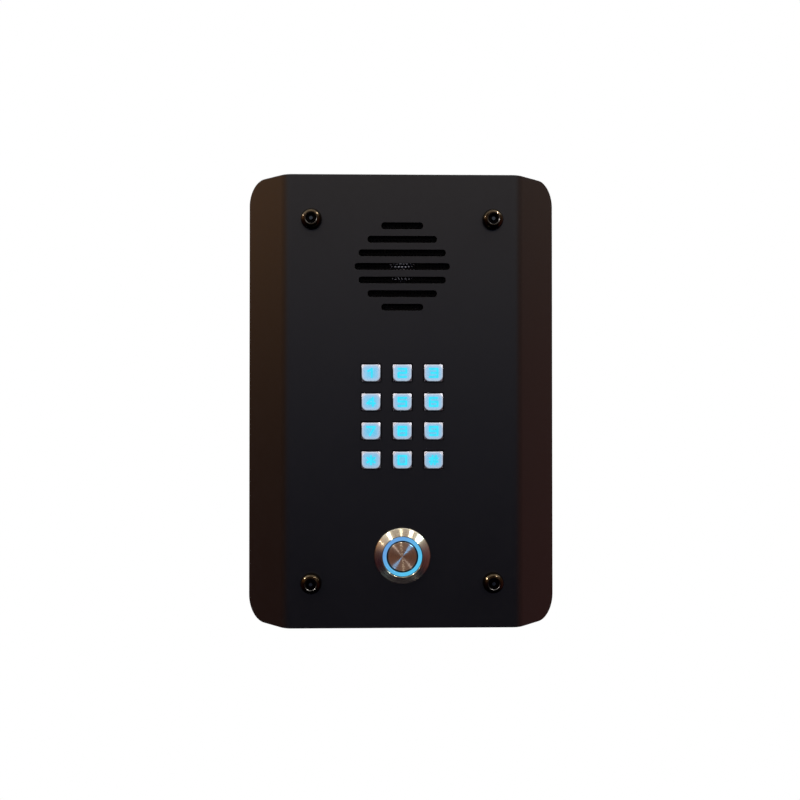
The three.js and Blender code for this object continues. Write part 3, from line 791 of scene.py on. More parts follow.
def strokes(line, x, z):
    """A round-ended prism along each part of a legend's centre line, as deep as the engraving."""
    points = [Vector((x + a * LEGEND_HALF_SIZE[0], z + b * LEGEND_HALF_SIZE[1])) for a, b in line]
    for start, end in zip(points, points[1:]):
        heading = math.atan2(end.y - start.y, end.x - start.x)
        outline = []
        for tip, turn in ((start, math.pi / 2), (end, -math.pi / 2)):
            for i in range(9):
                angle = heading + turn + math.pi * i / 8
                across, up = STROKE / 2 * math.cos(angle), STROKE / 2 * math.sin(angle)
                outline.append((tip.x + across, tip.y + up))
        yield loft([(outline, -KEY_PROUD - 1), (outline, ENGRAVING - KEY_PROUD)])


def key(name, x, z):
    width, height = KEY_SIZE
    face = rounded_rectangle(width - 0.2, height - 0.2, KEY_CORNER, x, z, 8)
    base = rounded_rectangle(width, height, 0.45, x, z, 8)
    flange = rounded_rectangle(*FLANGE_SIZE, 0.4, x, z, 8)
    plunger = rounded_rectangle(PLUNGER_WIDTH, PLUNGER_WIDTH, PLUNGER_WIDTH / 2, x, z, 8)

    def shoulder(points):
        """Depths on the four flat slopes that join the rounded face to the square corners."""
        middle_x, middle_z = width / 2 - 0.1 - KEY_CORNER, height / 2 - 0.1 - KEY_CORNER
        diagonals = [(abs(a - x) - middle_x + abs(b - z) - middle_z) / math.sqrt(2) for a, b in points]
        return [SHOULDER_DEPTH + (far - KEY_CORNER) * math.tan(SHOULDER_SLOPE) for far in diagonals]

    edge = ((0.42, 0), (0.24, 0.025), (0.09, 0.10), (0.0, 0.24))
    sections = [(face(inset), -KEY_PROUD + back) for inset, back in edge]
    sections += [(outline, shoulder(outline)) for outline in (face(0.0), base(0.05))]
    sections += [(base(0.0), -0.55), (base(0.0), 2.15)]
    sections += [(flange(0.0), 2.15), (flange(0.0), 3.15)]
    sections += [(plunger(0.0), 3.15), (plunger(0.0), 8.2), (plunger(0.3), 8.3)]
    body = loft(sections)
    # Faces whose middle lies behind the plate's face take black plastic: the flange and plunger, and also
    # the key's sides, which start 0.55 mm in front of the plate, where the black is painted shade.
    for face in body.faces:
        if face.calc_center_median().y > 0:
            face.material_index = 2
    # The key's metal material carries painted glow on its face; only the legend is truly lit from behind.
    materials = [key_metal_with_painted_glow(f"key_metal_with_painted_glow_{name}", x, z), LEGEND_LIGHT, BLACK_PLASTIC]
    obj = piece(f"metal_key_{name}", body, materials, f"key_{name}")
    engraved = (part for line in LEGENDS[name] for part in strokes(line, x, z))
    carve(obj, together(*engraved), 1, overlapping=True)


for name, place in KEY_PLACES.items():
    key(name, place.x, place.z)


# ---------------- call button


def screw_thread(radius, start, end, pitch, height):
    """(radius, depth) points of a thread's crests and roots."""
    points = []
    for i in range(int((end - start) / pitch)):
        depth = start + i * pitch
        points += [(radius - height, depth), (radius, depth + 0.4 * pitch), (radius, depth + 0.6 * pitch)]
    return points + [(radius - height, end)]


def call_button():
    def round_piece(name, section, material, node, sides=128):
        piece(name, turned(section, 0, BUTTON_Z, sides), material, node)

    front = -BUTTON_PROUD
    head = [(8.85, -2.9), (8.97, -3), (12.05, -1.35), (BUTTON_RADIUS, -1.05), (BUTTON_RADIUS, -0.6)]
    thread = screw_thread(BARREL_RADIUS, 2.1, 23.6, BARREL_PITCH, 0.45)
    bore = [(8.2, 24), (8.2, 14), (3.5, 14), (3.5, 12.3), (6.9, 12.3), (6.9, 4), (8.85, 4)]
    bezel = filleted(head + [(10.7, -0.6)], 0.12, False) + [(10.7, 1.9)] + thread + bore
    round_piece("turned_button_bezel", bezel, BUTTON_STEEL, "button_bezel")
    light = filleted([(6.95, 3.9), (6.95, front), (8.65, front), (8.65, 3.9)], 0.25)
    round_piece("lit_button_ring", light, RING_LIGHT, "button_light_ring")
    cap = filleted([(0, front), (6.45, front), (6.45, 0.1), (3, 0.1), (3, 16), (0, 16)], 0.25, False)
    round_piece("turned_button_cap", cap, CAP_STEEL, "button_cap")
    seal = filleted([(11.2, -0.52), (12, -0.52), (12, -0.06), (11.2, -0.06)], 0.2)
    round_piece("button_o_ring", seal, RUBBER, "button_seal", 96)


call_button()


# ---------------- cover screws

UNDER_HEAD = -0.06
SOCKET_FLATS = 4.15
SCREW_TURNS = {"top_left": 12, "top_right": 41, "bottom_left": 27, "bottom_right": 4}


def cover_screw(corner):
    """A button-head screw with a hexagon socket that has a pin in its middle."""
    node = f"cover_screw_{corner}"
    low, high, x, z = spot(node)
    top = low.y

    dome = [(2.9, top), (3.6, top + 0.4), (4.2, top + 1.15), (4.55, top + 2.1)]
    dome += [(COVER_SCREW_HEAD, top + 3.1), (COVER_SCREW_HEAD, UNDER_HEAD)]
    shank = COVER_SCREW_SHANK
    section = [(0, top)] + filleted(dome, 0.8, False) + [(shank, UNDER_HEAD), (shank, SHEET)]
    section += screw_thread(shank, 2.1, high.y - 0.6, 0.8, 0.35) + [(1.9, high.y), (0, high.y)]
    steels = [BLACK_OXIDE, WORN_STEEL_AND_PAINTED_HIGHLIGHT, PIN_STEEL, SOCKET_PAINTED_SHADE]
    screw = piece(f"button_head_screw_{corner}", turned(section, x, z), steels, node)
    # The socket's chamfered rim takes the lighter steel, partly wear and partly a painted highlight.
    worn_and_highlighted_edge = [(0, top - 1), (3.6, top - 1), (2.42, top + 0.2), (0, top + 0.2)]
    carve(screw, turned(worn_and_highlighted_edge, x, z, 64), 1)
    # The socket's mouth and its hexagon hollow take the near-black material: painted shade in the recess.
    carve(screw, turned(disc(2.4, top - 1, top + 0.25), x, z, 64), 3)
    carve(screw, turned(disc(1.1, top - 1, top + 0.4), x, z, 32), 2)
    socket = circle(SOCKET_FLATS / 2 / math.cos(math.pi / 6), x, z, 6, math.radians(SCREW_TURNS[corner]))
    carve(screw, sheet(socket, [circle(0.75, x, z, 32)], [(0, -1), (0, 2.3)], top), 3)


for corner in CORNERS:
    cover_screw(corner)


# ---------------- speaker guard and cone, seen through the slots

GUARD_HOLE = 0.5
GUARD_PITCH = 1.5
GUARD_REACH = 22.4


def guard_holes():
    """Staggered rows of holes."""
    row_pitch = GUARD_PITCH * math.sqrt(3) / 2
    rows = int(GUARD_REACH / row_pitch)
    for row in range(-rows, rows + 1):
        shift = (row % 2) / 2
        for column in range(-rows - 2, rows + 3):
            x, z = (column + shift) * GUARD_PITCH, row * row_pitch
            if math.hypot(x, z) < GUARD_REACH:
                yield circle(GUARD_HOLE, x, SPEAKER_Z + z, 12)


def round_part(section):
    """A body of revolution about the speaker's axis."""
    return turned(section, 0, SPEAKER_Z)


def speaker():
    low, high = extent("speaker_guard")
    rim = circle(SPEAKER_RADIUS, 0, SPEAKER_Z, 96)
    guard = sheet(rim, list(guard_holes()), [(0, 0), (0, high.y - low.y)], low.y)
    piece("perforated_guard", guard, GUARD_BLACK, "speaker_guard")
    paper = [(5.6, 10.7), (6.2, 11), (17.7, 5), (17.7, 5.5), (6.2, 11.8), (6.1, 19), (5.6, 19)]
    piece("speaker_cone_paper", round_part(paper), CONE_PAPER, "speaker_cone")
    cap = [(0, 4.4), (1.5, 4.5), (3, 4.95), (4.4, 5.8), (5.4, 7.1), (6, 9), (6.1, 10.9), (5.7, 10.9)]
    cap += [(5.6, 9.1), (5, 7.4), (4, 6.2), (2.8, 5.4), (1.4, 4.95), (0, 4.85)]
    extra("speaker_dust_cap", round_part(cap), DUST_CAP, "speaker_cone")


speaker()


# ---------------- back box, gasket and grommet

BOX_WALL = 2.5
BOX_CORNER = 6.0
GROOVE_IN = 3.5
WALL_HOLES = (25, 77)
GASKET_WIDTH = 3


def inside_of(low, high, corner, inset=0.0, steps=10):
    """A rounded outline that runs inset inside a CAD box's sides."""
    width, height = high.x - low.x - 2 * inset, high.z - low.z - 2 * inset
    return rounded_rectangle(width, height, corner - inset, steps=steps)


def back_box():
    low, high = extent("back_box")
    rim, rear = low.y, high.y
    floor = rear - BOX_WALL
    outer = inside_of(low, high, BOX_CORNER)
    inner = inside_of(low, high, BOX_CORNER, BOX_WALL)
    bm = bmesh.new()

    def walled(outline, steps):
        rings = [ring(bm, outline(inset), depth) for inset, depth in steps]
        wall(bm, rings)
        return rings[0], rings[-1]

    outside = [(0.3, rim), (0.1, rim + 0.1), (0, rim + 0.3), (0, rim + 6), (0.3, rim + 6.3), (0.3, rim + 7)]
    outside += [(0, rim + 7.3), (0, rear - 1.2), (0.16, rear - 0.65), (0.6, rear - 0.18), (1.2, rear)]
    outer_front, outer_rear = walled(outer, outside)
    inner_front, inner_rear = walled(inner, [(-0.3, rim), (0, rim + 0.3), (0, floor)])
    fill(bm, outer_front, inner_front)
    # A shallow groove frames the rear face, outside the wall holes.
    groove = inside_of(low, high, BOX_CORNER, GROOVE_IN, 8)
    groove_steps = [(0, rear), (0.15, rear - 0.4), (0.75, rear - 0.4), (0.9, rear)]
    groove_outside, groove_inside = walled(groove, groove_steps)
    fill(bm, outer_rear, groove_outside)
    entry = middle("cable_grommet")
    entry_steps = [(0, rear), (0, rear - 1.3), (3, rear - 1.3), (3, floor)]
    holes = [walled(circle(11.5, entry.x, entry.z, 64), entry_steps)]
    for side, end in CORNERS.values():
        outline = circle(3.2, side * WALL_HOLES[0], end * WALL_HOLES[1], 40)
        holes.append(walled(outline, [(0, rear), (0.95, rear - 0.95), (0.95, floor)]))
    fill(bm, groove_inside, *(hole[0] for hole in holes))
    fill(bm, inner_rear, *(hole[1] for hole in holes))
    box = piece("moulded_back_box", bm, BOX_PLASTIC, "back_box")
    extra("box_bosses", together(*box_bosses(rim, floor)), BOX_PLASTIC, "back_box")
    port = middle("microphone_boot")
    drill = turned(disc(1.5, -4, 4), 0, 0, 32)
    drill.transform(Matrix.Translation((port.x, port.y, low.z)) @ Matrix.Rotation(math.pi / 2, 4, "X"))
    carve(box, drill)


def box_bosses(rim, floor):
    """The bosses that hold the cover screws' inserts, and the posts under the control board's corners."""
    sunk = floor + 0.02
    for corner in CORNERS:
        boss, post = middle(f"cover_screw_{corner}"), middle(f"board_screw_{corner}")
        mouth = [(3.6, rim), (4.8, rim), (5, rim + 0.2), (5.2, floor - 0.5), (5.7, sunk)]
        bore = [(2.75, 24), (2.75, 13.8), (3.4, 13.8), (3.4, rim + 0.2)]
        yield turned(mouth + [(0, sunk), (0, 24)] + bore, boss.x, boss.z, 40)
        foot = [(1.45, 34.1), (3.2, 34.1), (3.4, floor - 0.5), (3.9, sunk), (0, sunk), (0, 40), (1.45, 40)]
        yield turned(foot, post.x, post.z, 32)


def gasket():
    low, high = extent("plate_gasket")
    inner = inside_of(low, high, BOX_CORNER, GASKET_WIDTH)
    strip = sheet(inside_of(low, high, BOX_CORNER), [inner], side_profile(high.y - low.y, 0.3), low.y)
    piece("foam_gasket", strip, FOAM, "plate_gasket")


def grommet():
    low, high, x, z = spot("cable_grommet")
    rear, inside = high.y, low.y
    section = [(5.5, rear), (11.3, rear), (11.3, rear - 1), (8.35, rear - 1), (8.35, inside + 1.5)]
    section += [(11.3, inside + 1.5), (7, inside), (5.5, inside)]
    piece("rubber_grommet", turned(filleted(section, 0.35), x, z), RUBBER, "cable_grommet")


back_box()
gasket()
grommet()


# ---------------- nuts, inserts, studs and small screws


def hex_nut(node, across_flats, bore):
    """A nut whose corners are turned off at 30 degrees on both faces."""
    low, high, x, z = spot(node)
    turns, flat = angles(72), across_flats / 2
    reach = [flat / math.cos(t % (math.pi / 3) - math.pi / 6) for t in turns]
    sloped = [(r - 0.97 * flat) * math.tan(math.radians(30)) for r in reach]
    face = circle(0.97 * flat, x, z, 72)()
    outline = [(x + r * math.cos(t), z + r * math.sin(t)) for r, t in zip(reach, turns)]
    hole = circle(bore, x, z, 72)
    bm = bmesh.new()
    rings = [
        ring(bm, face, low.y),
        ring(bm, outline, [low.y + drop for drop in sloped]),
        ring(bm, outline, [high.y - drop for drop in sloped]),
        ring(bm, face, high.y),
        ring(bm, hole(-0.25), high.y),
        ring(bm, hole(), high.y - 0.25),
        ring(bm, hole(), low.y + 0.25),
        ring(bm, hole(-0.25), low.y),
    ]
    wall(bm, rings + [rings[0]])
    piece(f"hex_{node}", bm, ZINC, node)


def knurled_insert(corner):
    """A brass insert with two knurled bands, and a groove between them that keys it in the box's boss."""
    node = f"thread_insert_{corner}"
    low, high, x, z = spot(node)
    sides = 52
    length = high.y - low.y
    bands = [(3.0, 0, 0), (3.3, 0.16, 0.3), (3.3, 0.16, 3.8), (2.95, 0, 4.1), (2.95, 0, length - 4.1)]
    bands += [(3.3, 0.16, length - 3.8), (3.3, 0.16, length - 0.3), (3.0, 0, length)]
    bm = bmesh.new()
    rings = []
    for radius, tooth, along in bands:
        points = [(radius - tooth * (i % 2), t) for i, t in enumerate(angles(sides))]
        outline = [(x + r * math.cos(t), z + r * math.sin(t)) for r, t in points]
        rings.append(ring(bm, outline, low.y + along))
    for radius, depth in [(2.85, high.y), (2.6, high.y - 0.3), (2.6, low.y + 0.3), (2.85, low.y)]:
        rings.append(ring(bm, circle(radius, x, z, sides)(), depth))
    wall(bm, rings + [rings[0]])
    piece(f"knurled_insert_{corner}", bm, BRASS, node)


def cross_head_screw(corner):
    node = f"board_screw_{corner}"
    low, high, x, z = spot(node)
    top = low.y
    head = filleted([(0, top), (1.9, top + 0.1), (2.8, top + 1), (2.8, top + 2), (1.3, top + 2)], 0.4, False)
    section = head + screw_thread(1.3, top + 2.4, high.y - 0.6, 0.5, 0.2) + [(0.9, high.y), (0, high.y)]
    screw = piece(f"cross_head_screw_{corner}", turned(section, x, z, 40), ZINC, node)
    arms = (((x - a, top - 1, z - b), (x + a, top + 1, z + b)) for a, b in ((1.5, 0.28), (0.28, 1.5)))
    carve(screw, blocks(*arms, radius=0.1), overlapping=True)


def welded_studs():
    studs = []
    flare = [(0, 1.0), (1.5, 1.0), (2.1, 1.99), (2.1, 2.05), (1.5, 2.3)]
    section = flare + screw_thread(1.5, 2.4, 14.4, 0.5, 0.2) + [(1.2, 14.6), (0, 14.6)]
    for corner in CORNERS:
        nut = middle(f"keypad_nut_{corner}")
        studs.append(turned(section, nut.x, nut.z, 24))
    extra("keypad_studs", together(*studs), ZINC, "front_plate")


for corner in CORNERS:
    hex_nut(f"keypad_nut_{corner}", 5.5, 1.6)
    knurled_insert(corner)
    cross_head_screw(corner)
hex_nut("button_nut", 27, 11.1)
welded_studs()


# ---------------- behind the slots, and the microphone


def speaker_parts():
    front = extent("speaker_gasket")[0].y
    outer, inner = (circle(radius, 0, SPEAKER_Z, 96) for radius in (SPEAKER_RADIUS, SPEAKER_RADIUS - 3))
    piece("speaker_foam_ring", sheet(outer, [inner], side_profile(1.4, 0.25), front), FOAM, "speaker_gasket")
    basket = [(20.6, 4.4), (SPEAKER_RADIUS, 4.4), (SPEAKER_RADIUS, 5.8), (22, 6.1), (13, 15), (13, 16.2)]
    basket += [(6.8, 16.2), (6.8, 15.2), (11.5, 14.6), (20.5, 7.2)]
    frame_piece = piece("speaker_basket", round_part(filleted(basket, 0.3)), BLACK_PLASTIC, "speaker_frame")
    windows = []
    for turn in angles(6):
        window = block((13.6, 7, -3.6), (20, 13.4, 3.6), 0.6)
        window.transform(Matrix.Translation((0, 0, SPEAKER_Z)) @ Matrix.Rotation(turn, 4, "Y"))
        windows.append(window)
    carve(frame_piece, together(*windows))
    bottom = SPEAKER_Z - 22.5
    terminal = block((-4, 6.2, bottom), (4, 10.9, bottom + 2.6), 0.3)
    extra("speaker_terminal", terminal, BLACK_PLASTIC, "speaker_frame")
    tabs = (((x - 0.8, 7.2, bottom + 2.5), (x + 0.8, 10, bottom + 4.4)) for x in (-2.2, 2.2))
    extra("speaker_solder_tabs", blocks(*tabs), BRASS, "speaker_frame")
    turns = [math.pi * i / 10 for i in range(11)]
    roll = [(19.15 - 1.25 * math.cos(t), 4.9 - 1.45 * math.sin(t)) for t in turns]
    roll += [(19.15 + 0.8 * math.cos(t), 5.2 - 1.1 * math.sin(t)) for t in turns]
    piece("speaker_roll", round_part(roll), RUBBER, "speaker_surround")
    yoke = filleted([(0, 16.4), (5.2, 16.4), (5.2, 22.6), (13.4, 22.6), (13.4, 25), (0, 25)], 0.5, False)
    top_plate = filleted([(6.6, 16.3), (13.4, 16.3), (13.4, 18.3), (6.6, 18.3)], 0.3)
    steel = together(round_part(yoke), round_part(top_plate))
    piece("speaker_magnet_steel", steel, ZINC, "speaker_magnet")
    ferrite = filleted([(7, 18.35), (14, 18.35), (14, 22.55), (7, 22.55)], 0.5)
    extra("speaker_ferrite", round_part(ferrite), FERRITE, "speaker_magnet")


def microphone():
    def upright(section):
        """A body of revolution about the microphone's upright axis, from (radius, height) points."""
        bm = turned(section, 0, 0, 48)
        bm.transform(Matrix.Translation((place.x, place.y, 0)) @ Matrix.Rotation(math.pi / 2, 4, "X"))
        return bm

    low, high = extent("microphone_boot")
    place = (low + high) / 2
    boot = [(1.2, low.z), (5, low.z), (5, low.z + 1.5), (4.6, low.z + 1.8), (4.6, high.z - 1), (5, high.z)]
    boot += [(3.1, high.z), (3.1, low.z + 1.9), (1.2, low.z + 1.9)]
    piece("microphone_rubber_boot", upright(filleted(boot, 0.3)), RUBBER, "microphone_boot")
    low, high = extent("microphone_capsule")
    can = [(0, low.z + 0.2), (0.6, low.z + 0.2), (0.7, low.z), (2.7, low.z), (3, low.z + 0.3)]
    can += [(3, high.z - 0.2), (2.8, high.z), (2.4, high.z), (2.4, high.z - 0.4), (0, high.z - 0.4)]
    piece("microphone_can", upright(can), SHIELD_CAN, "microphone_capsule")


speaker_parts()
microphone()


# ---------------- behind the keys and the button


KEYPAD_SIZE = (51, 59)
MAT_SIZE = (40.6, 50.4)
MAT_DEPTH = 8.7
KEYPAD_BOARD_DEPTH = 9.8
HEADER_DROP = 24.5


def keypad_parts():
    places = KEY_PLACES.values()
    low, high, _, keypad_z = spot("keypad_frame")
    stud_holes = corner_circles("keypad_nut", 1.8, 24)
    outline = rounded_rectangle(*KEYPAD_SIZE, 2, 0, keypad_z)
    pockets = [rounded_rectangle(11.4, 10.6, 0.6, p.x, p.z, 3) for p in places]
    carrier = sheet(outline, pockets + stud_holes, side_profile(high.y - low.y, 0.3), low.y)
    piece("keypad_carrier", carrier, BLACK_PLASTIC, "keypad_frame")
    # Each opening in the mat is the mouth of a soft cone that its key's plunger goes through.
    cone = [(2.0, 0), (1.75, -0.2), (0.85, -2.1), (0.6, -2.3), (0.15, -2.3), (0, -2.15), (0, 1)]
    mouths = [circle(2.2, p.x, p.z, 32) for p in places]
    outside = rounded_rectangle(*MAT_SIZE, 1.5, 0, keypad_z)
    mat = sheet(outside, mouths, side_profile(1, 0.2), MAT_DEPTH, cone)
    piece("silicone_mat", mat, SILICONE, "keypad_mat")
    board = sheet(outline, stud_holes, side_profile(1.5, 0.05), KEYPAD_BOARD_DEPTH)
    piece("keypad_circuit_board", board, SOLDER_MASK, "keypad_board")
    back, header = KEYPAD_BOARD_DEPTH + 1.5, keypad_z - HEADER_DROP
    socket = blocks(((-8, back, header - 2.5), (8, back + 4.1, header + 2.5)), radius=0.3)
    extra("keypad_header", socket, WHITE_NYLON, "keypad_board")
    parts = [((p.x - 5.4, back, p.z - 4.4), (p.x - 3.8, back + 0.6, p.z - 3.6)) for p in places]
    parts += [((p.x + 3.6, back, p.z - 4.4), (p.x + 5.2, back + 0.8, p.z - 3.4)) for p in places]
    extra("keypad_resistors", blocks(*parts, radius=0.1), CHIP_EPOXY, "keypad_board")


def return_spring():
    low, high = extent("button_spring")
    wire, coil, coils, per_turn = 0.35, 4.6, 4, 24
    route = []
    for i in range(coils * per_turn + 1):
        turn = 2 * math.pi * i / per_turn
        # The pitch closes up at both ends.
        along = i / (coils * per_turn)
        eased = along - 0.75 * math.sin(2 * math.pi * along) / (2 * math.pi)
        depth = low.y + wire + (high.y - low.y - 2 * wire) * eased
        route.append((coil * math.cos(turn), depth, BUTTON_Z + coil * math.sin(turn)))
    spring = piece("return_spring", tube(route, wire, 10), SPRING_STEEL, "button_spring")
    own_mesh(spring)


def button_parts():
    body = [(0, 20), (7.9, 20), (7.9, 24.1), (10.2, 24.1), (10.2, 30.4), (9.7, 31), (0, 31)]
    piece("switch_base", turned(filleted(body, 0.3, False), 0, BUTTON_Z), BLACK_PLASTIC, "button_base")
    blades = [(side * 5.5, BUTTON_Z + end * 4) for side, end in CORNERS.values()]
    tabs = (((x - 1.4, 30.9, z - 0.25), (x + 1.4, 35.5, z + 0.25)) for x, z in blades)
    extra("switch_blades", blocks(*tabs), TINNED, "button_base")
    return_spring()


keypad_parts()
button_parts()


# ---------------- control board

BOARD_SIZE = (76, 116)
BOARD_Z = 12
BOARD_THICKNESS = 1.6
# Headers as x, x, height, z, z, and chips as x, z, width, height, legs on each side.
HEADERS = [(-8, 8, 4, -20, -15), (20, 28, 6, 36, 42), (25, 37, 6, -30, -24)]
CHIPS = [(-20, 50, 9, 12, 8), (-22, 26, 6, 8, 6), (4, 52, 6, 8, 6), (-20, 6, 5, 6, 4), (10, -6, 5, 6, 4)]
SMALL_PARTS = [(x, z) for x in (-33, -10, -6, 16, 32) for z in (60, 44, 32, 14, -2)]


def chip_legs(x, z, width, height, legs, face):
    """A flat chip's legs, along both upright sides."""
    for i in range(legs):
        foot = z + (i - (legs - 1) / 2) * height / legs
        for side in (-1, 1):
            a, b = sorted((x + side * width / 2, x + side * (width / 2 + 1)))
            yield (a, face - 0.6, foot - 0.2), (b, face, foot + 0.2)


def control_board():
    face = extent("board_screw_top_left")[0].y + 2.1
    outline = rounded_rectangle(*BOARD_SIZE, 2, 0, BOARD_Z)
    board = sheet(outline, corner_circles("board_screw", 1.6, 24), side_profile(BOARD_THICKNESS, 0.05), face)
    piece("control_circuit_board", board, SOLDER_MASK, "control_board")
    sockets = (((x0, face - tall, z0), (x1, face, z1)) for x0, x1, tall, z0, z1 in HEADERS)
    extra("board_headers", blocks(*sockets, radius=0.3), WHITE_NYLON, "control_board")
    bodies, feet = [], []
    for x, z, width, height, legs in CHIPS:
        low = (x - width / 2, face - 1.3, z - height / 2)
        bodies.append((low, (x + width / 2, face - 0.15, z + height / 2)))
        feet += chip_legs(x, z, width, height, legs, face)
    extra("board_chips", blocks(*bodies), CHIP_EPOXY, "control_board")
    extra("board_chip_legs", blocks(*feet, radius=0.05), TINNED, "control_board")
    small = [((x - 0.8, face - 0.7, z - 0.5), (x + 0.8, face, z + 0.5)) for x, z in SMALL_PARTS]
    small += [((x - 0.6, face - 1, z + 3), (x + 0.6, face, z + 5)) for x, z in SMALL_PARTS[::2]]
    extra("board_resistors", blocks(*small, radius=0.1), CERAMIC, "control_board")


def processor_module():
    low, high = extent("processor_module")
    can = piece("processor_shield", block(low, high, 0.45, 3), SHIELD_CAN, "processor_module")
    vents = [circle(0.7, low.x + 6 + 3 * i, low.z + 6 + 3 * j, 16)() for i in range(7) for j in range(5)]
    carve(can, together(*(loft([(hole, low.y - 1), (hole, low.y + 0.35)]) for hole in vents)))


def lock_relay():
    low, high = extent("lock_relay")
    step = Vector((0.35, 0, 0.35))
    lower = block(low + Vector((0, 1.4, 0)), high, 0.5, 3)
    upper = block(low + step, Vector((high.x, low.y + 1.6, high.z)) - step, 0.6, 3)
    piece("relay_case", together(lower, upper), RELAY_BLUE, "lock_relay")


def filter_capacitor():
    low, high, x, z = spot("filter_capacitor")
    top, base = low.y, high.y
    sleeve = [(4.2, top), (5, top + 0.1), (5, base - 1.9), (4.7, base - 1.5), (5, base - 1.1), (5, base)]
    sleeve = filleted(sleeve + [(0, base), (0, top + 0.3), (4.2, top + 0.3)], 0.3, False)
    piece("capacitor_sleeve", turned(sleeve, x, z), CAPACITOR_SLEEVE, "filter_capacitor")
    lid = turned(disc(4.1, top + 0.05, top + 0.25), x, z)
    lid = extra("capacitor_lid", lid, SHIELD_CAN, "filter_capacitor")
    score = (((x - a, top - 1, z - b), (x + a, top + 0.15, z + b)) for a, b in ((2.6, 0.12), (0.12, 2.6)))
    carve(lid, blocks(*score, radius=0.02), overlapping=True)


def terminal_block(name):
    """Four ways: each has a wire hole in its underside, and a slotted screw in a well in front."""
    low, high = extent(name)
    front, screw_z = low.y, low.z + 5
    body = piece(f"{name}_body", block(low, high, 0.4), TERMINAL_GREEN, name)
    pitch = (high.x - low.x) / 4
    screws, cuts, slots = [], [], []
    for i in range(4):
        x = low.x + (i + 0.5) * pitch
        cuts.append(block((x - 1.6, front + 5, low.z - 1), (x + 1.6, front + 8.6, low.z + 5), 0.2))
        cuts.append(turned(disc(1.9, front - 1, front + 2.4), x, screw_z, 32))
        head = filleted(disc(1.6, front + 0.9, front + 2.6), 0.2, False)
        screws.append(turned(head, x, screw_z, 32))
        slots.append(((x - 1.7, front, screw_z - 0.25), (x + 1.7, front + 1.4, screw_z + 0.25)))
    for i in range(1, 4):
        x = low.x + i * pitch
        cuts.append(block((x - 0.2, front - 1, low.z - 1), (x + 0.2, front + 0.5, high.z + 1), 0.05))
    carve(body, together(*cuts))
    heads = extra(f"{name}_screws", together(*screws), ZINC, name)
    carve(heads, blocks(*slots, radius=0.05))


control_board()
processor_module()
lock_relay()
filter_capacitor()
terminal_block("power_terminals")
terminal_block("signal_terminals")


# ---------------- leads inside the box

# Points along the middle of each lead.
SPEAKER_ROUTE = [
    (0, 11.2, 39.2), (0, 15, 39.2), (5, 18.5, 37.2), (15, 19, 37), (22, 19.5, 38), (24, 22, 39),
    (24, 26.2, 39),
]
BUTTON_ROUTE = [
    (0, 31.2, -68.2), (0, 34, -68.2), (5, 38, -66), (17, 39.5, -59), (27, 36, -51), (30, 29, -47),
    (29, 22, -40), (28, 19.5, -31), (28, 21.5, -27), (28, 26.2, -27),
]
MICROPHONE_ROUTE = [
    (18, 18, -79.8), (18, 18, -77.5), (26, 19, -72), (34, 21, -62), (37, 22, -50), (36, 20, -38),
    (34, 19, -30), (34, 21.5, -27), (34, 26.2, -27),
]
TWIST = 0.55


def twisted_lead(name, radius, route):
    """Two insulated wires twisted together along a smooth line."""
    places = list(along_line(smooth_line(route)))
    wires = []
    for core in range(2):
        centres = []
        for i, (point, across, up) in enumerate(places):
            turn = core * math.pi + TWIST * i
            centres.append(point + radius / 2 * (across * math.cos(turn) + up * math.sin(turn)))
        wires.append(painted(tube(centres, radius / 2, 12), core))
    piece(f"twisted_{name}", together(*wires), [LEAD_BLACK, LEAD_RED], name)


def painted(bm, material_index):
    for face in bm.faces:
        face.material_index = material_index
    return bm


def ribbon_cable():
    """Fourteen wires side by side, from the keypad's board to the control board. The first one is red."""
    start, end = Vector((15.7, middle("keypad_board").z - HEADER_DROP)), Vector((28.2, -17.5))
    away, back = start + Vector((12, 0)), end - Vector((10, 0))
    route = []
    for i in range(17):
        t = i / 16
        point = start * (1 - t) ** 3 + 3 * away * t * (1 - t) ** 2 + 3 * back * t * t * (1 - t) + end * t**3
        route.append(point)
    wires = []
    for i in range(14):
        wire = tube([(i - 6.5, point.x, point.y) for point in route], 0.42, 8)
        wires.append(painted(wire, 0 if i else 1))
    piece("ribbon_cable", together(*wires), [RIBBON_GREY, LEAD_RED], "keypad_ribbon")


twisted_lead("speaker_lead", 1.2, SPEAKER_ROUTE)
twisted_lead("button_lead", 1.5, BUTTON_ROUTE)
twisted_lead("microphone_lead", 1.0, MICROPHONE_ROUTE)
ribbon_cable()


# ---------------- camera and floor

PLATE_CENTRE = Vector((0, FRONT_Y, 0))
CAMERA_PLACE = PLATE_CENTRE + Vector((-9.65, -409.4, 6.6)) * MM
CAMERA_AIM = PLATE_CENTRE + Vector((-1.0, 0, 10.7)) * MM
CAMERA_SHIFT_Y = -0.0295
LENS = 41.8
SENSOR_WIDTH = 36
FLOOR_RADIUS = 0.36


def aimed(obj, at):
    obj.rotation_euler = (at - obj.location).to_track_quat("-Z", "Y").to_euler()


def camera():
    data = bpy.data.cameras.new("camera")
    data.lens = LENS
    data.sensor_width = SENSOR_WIDTH
    data.shift_y = CAMERA_SHIFT_Y
    data.clip_start = 0.01
    obj = linked("camera", data)
    obj.location = CAMERA_PLACE
    aimed(obj, CAMERA_AIM)
    bpy.context.scene.camera = obj


def floor():
    bm = bmesh.new()
    bmesh.ops.create_circle(bm, cap_ends=True, segments=96, radius=FLOOR_RADIUS)
    bm.transform(TO_DRAWING @ Matrix.Translation((0, FRONT_Y / 2, -FLOOR_RADIUS)))
    obj = solid("floor", bm)
    pale = Finish("pale_floor", (0.86, 0.86, 0.86), 0.7).mottled(40, (0.84, 0.84, 0.85))
    obj.data.materials.append(pale.material)
    obj.visible_glossy = False


# ---------------- light

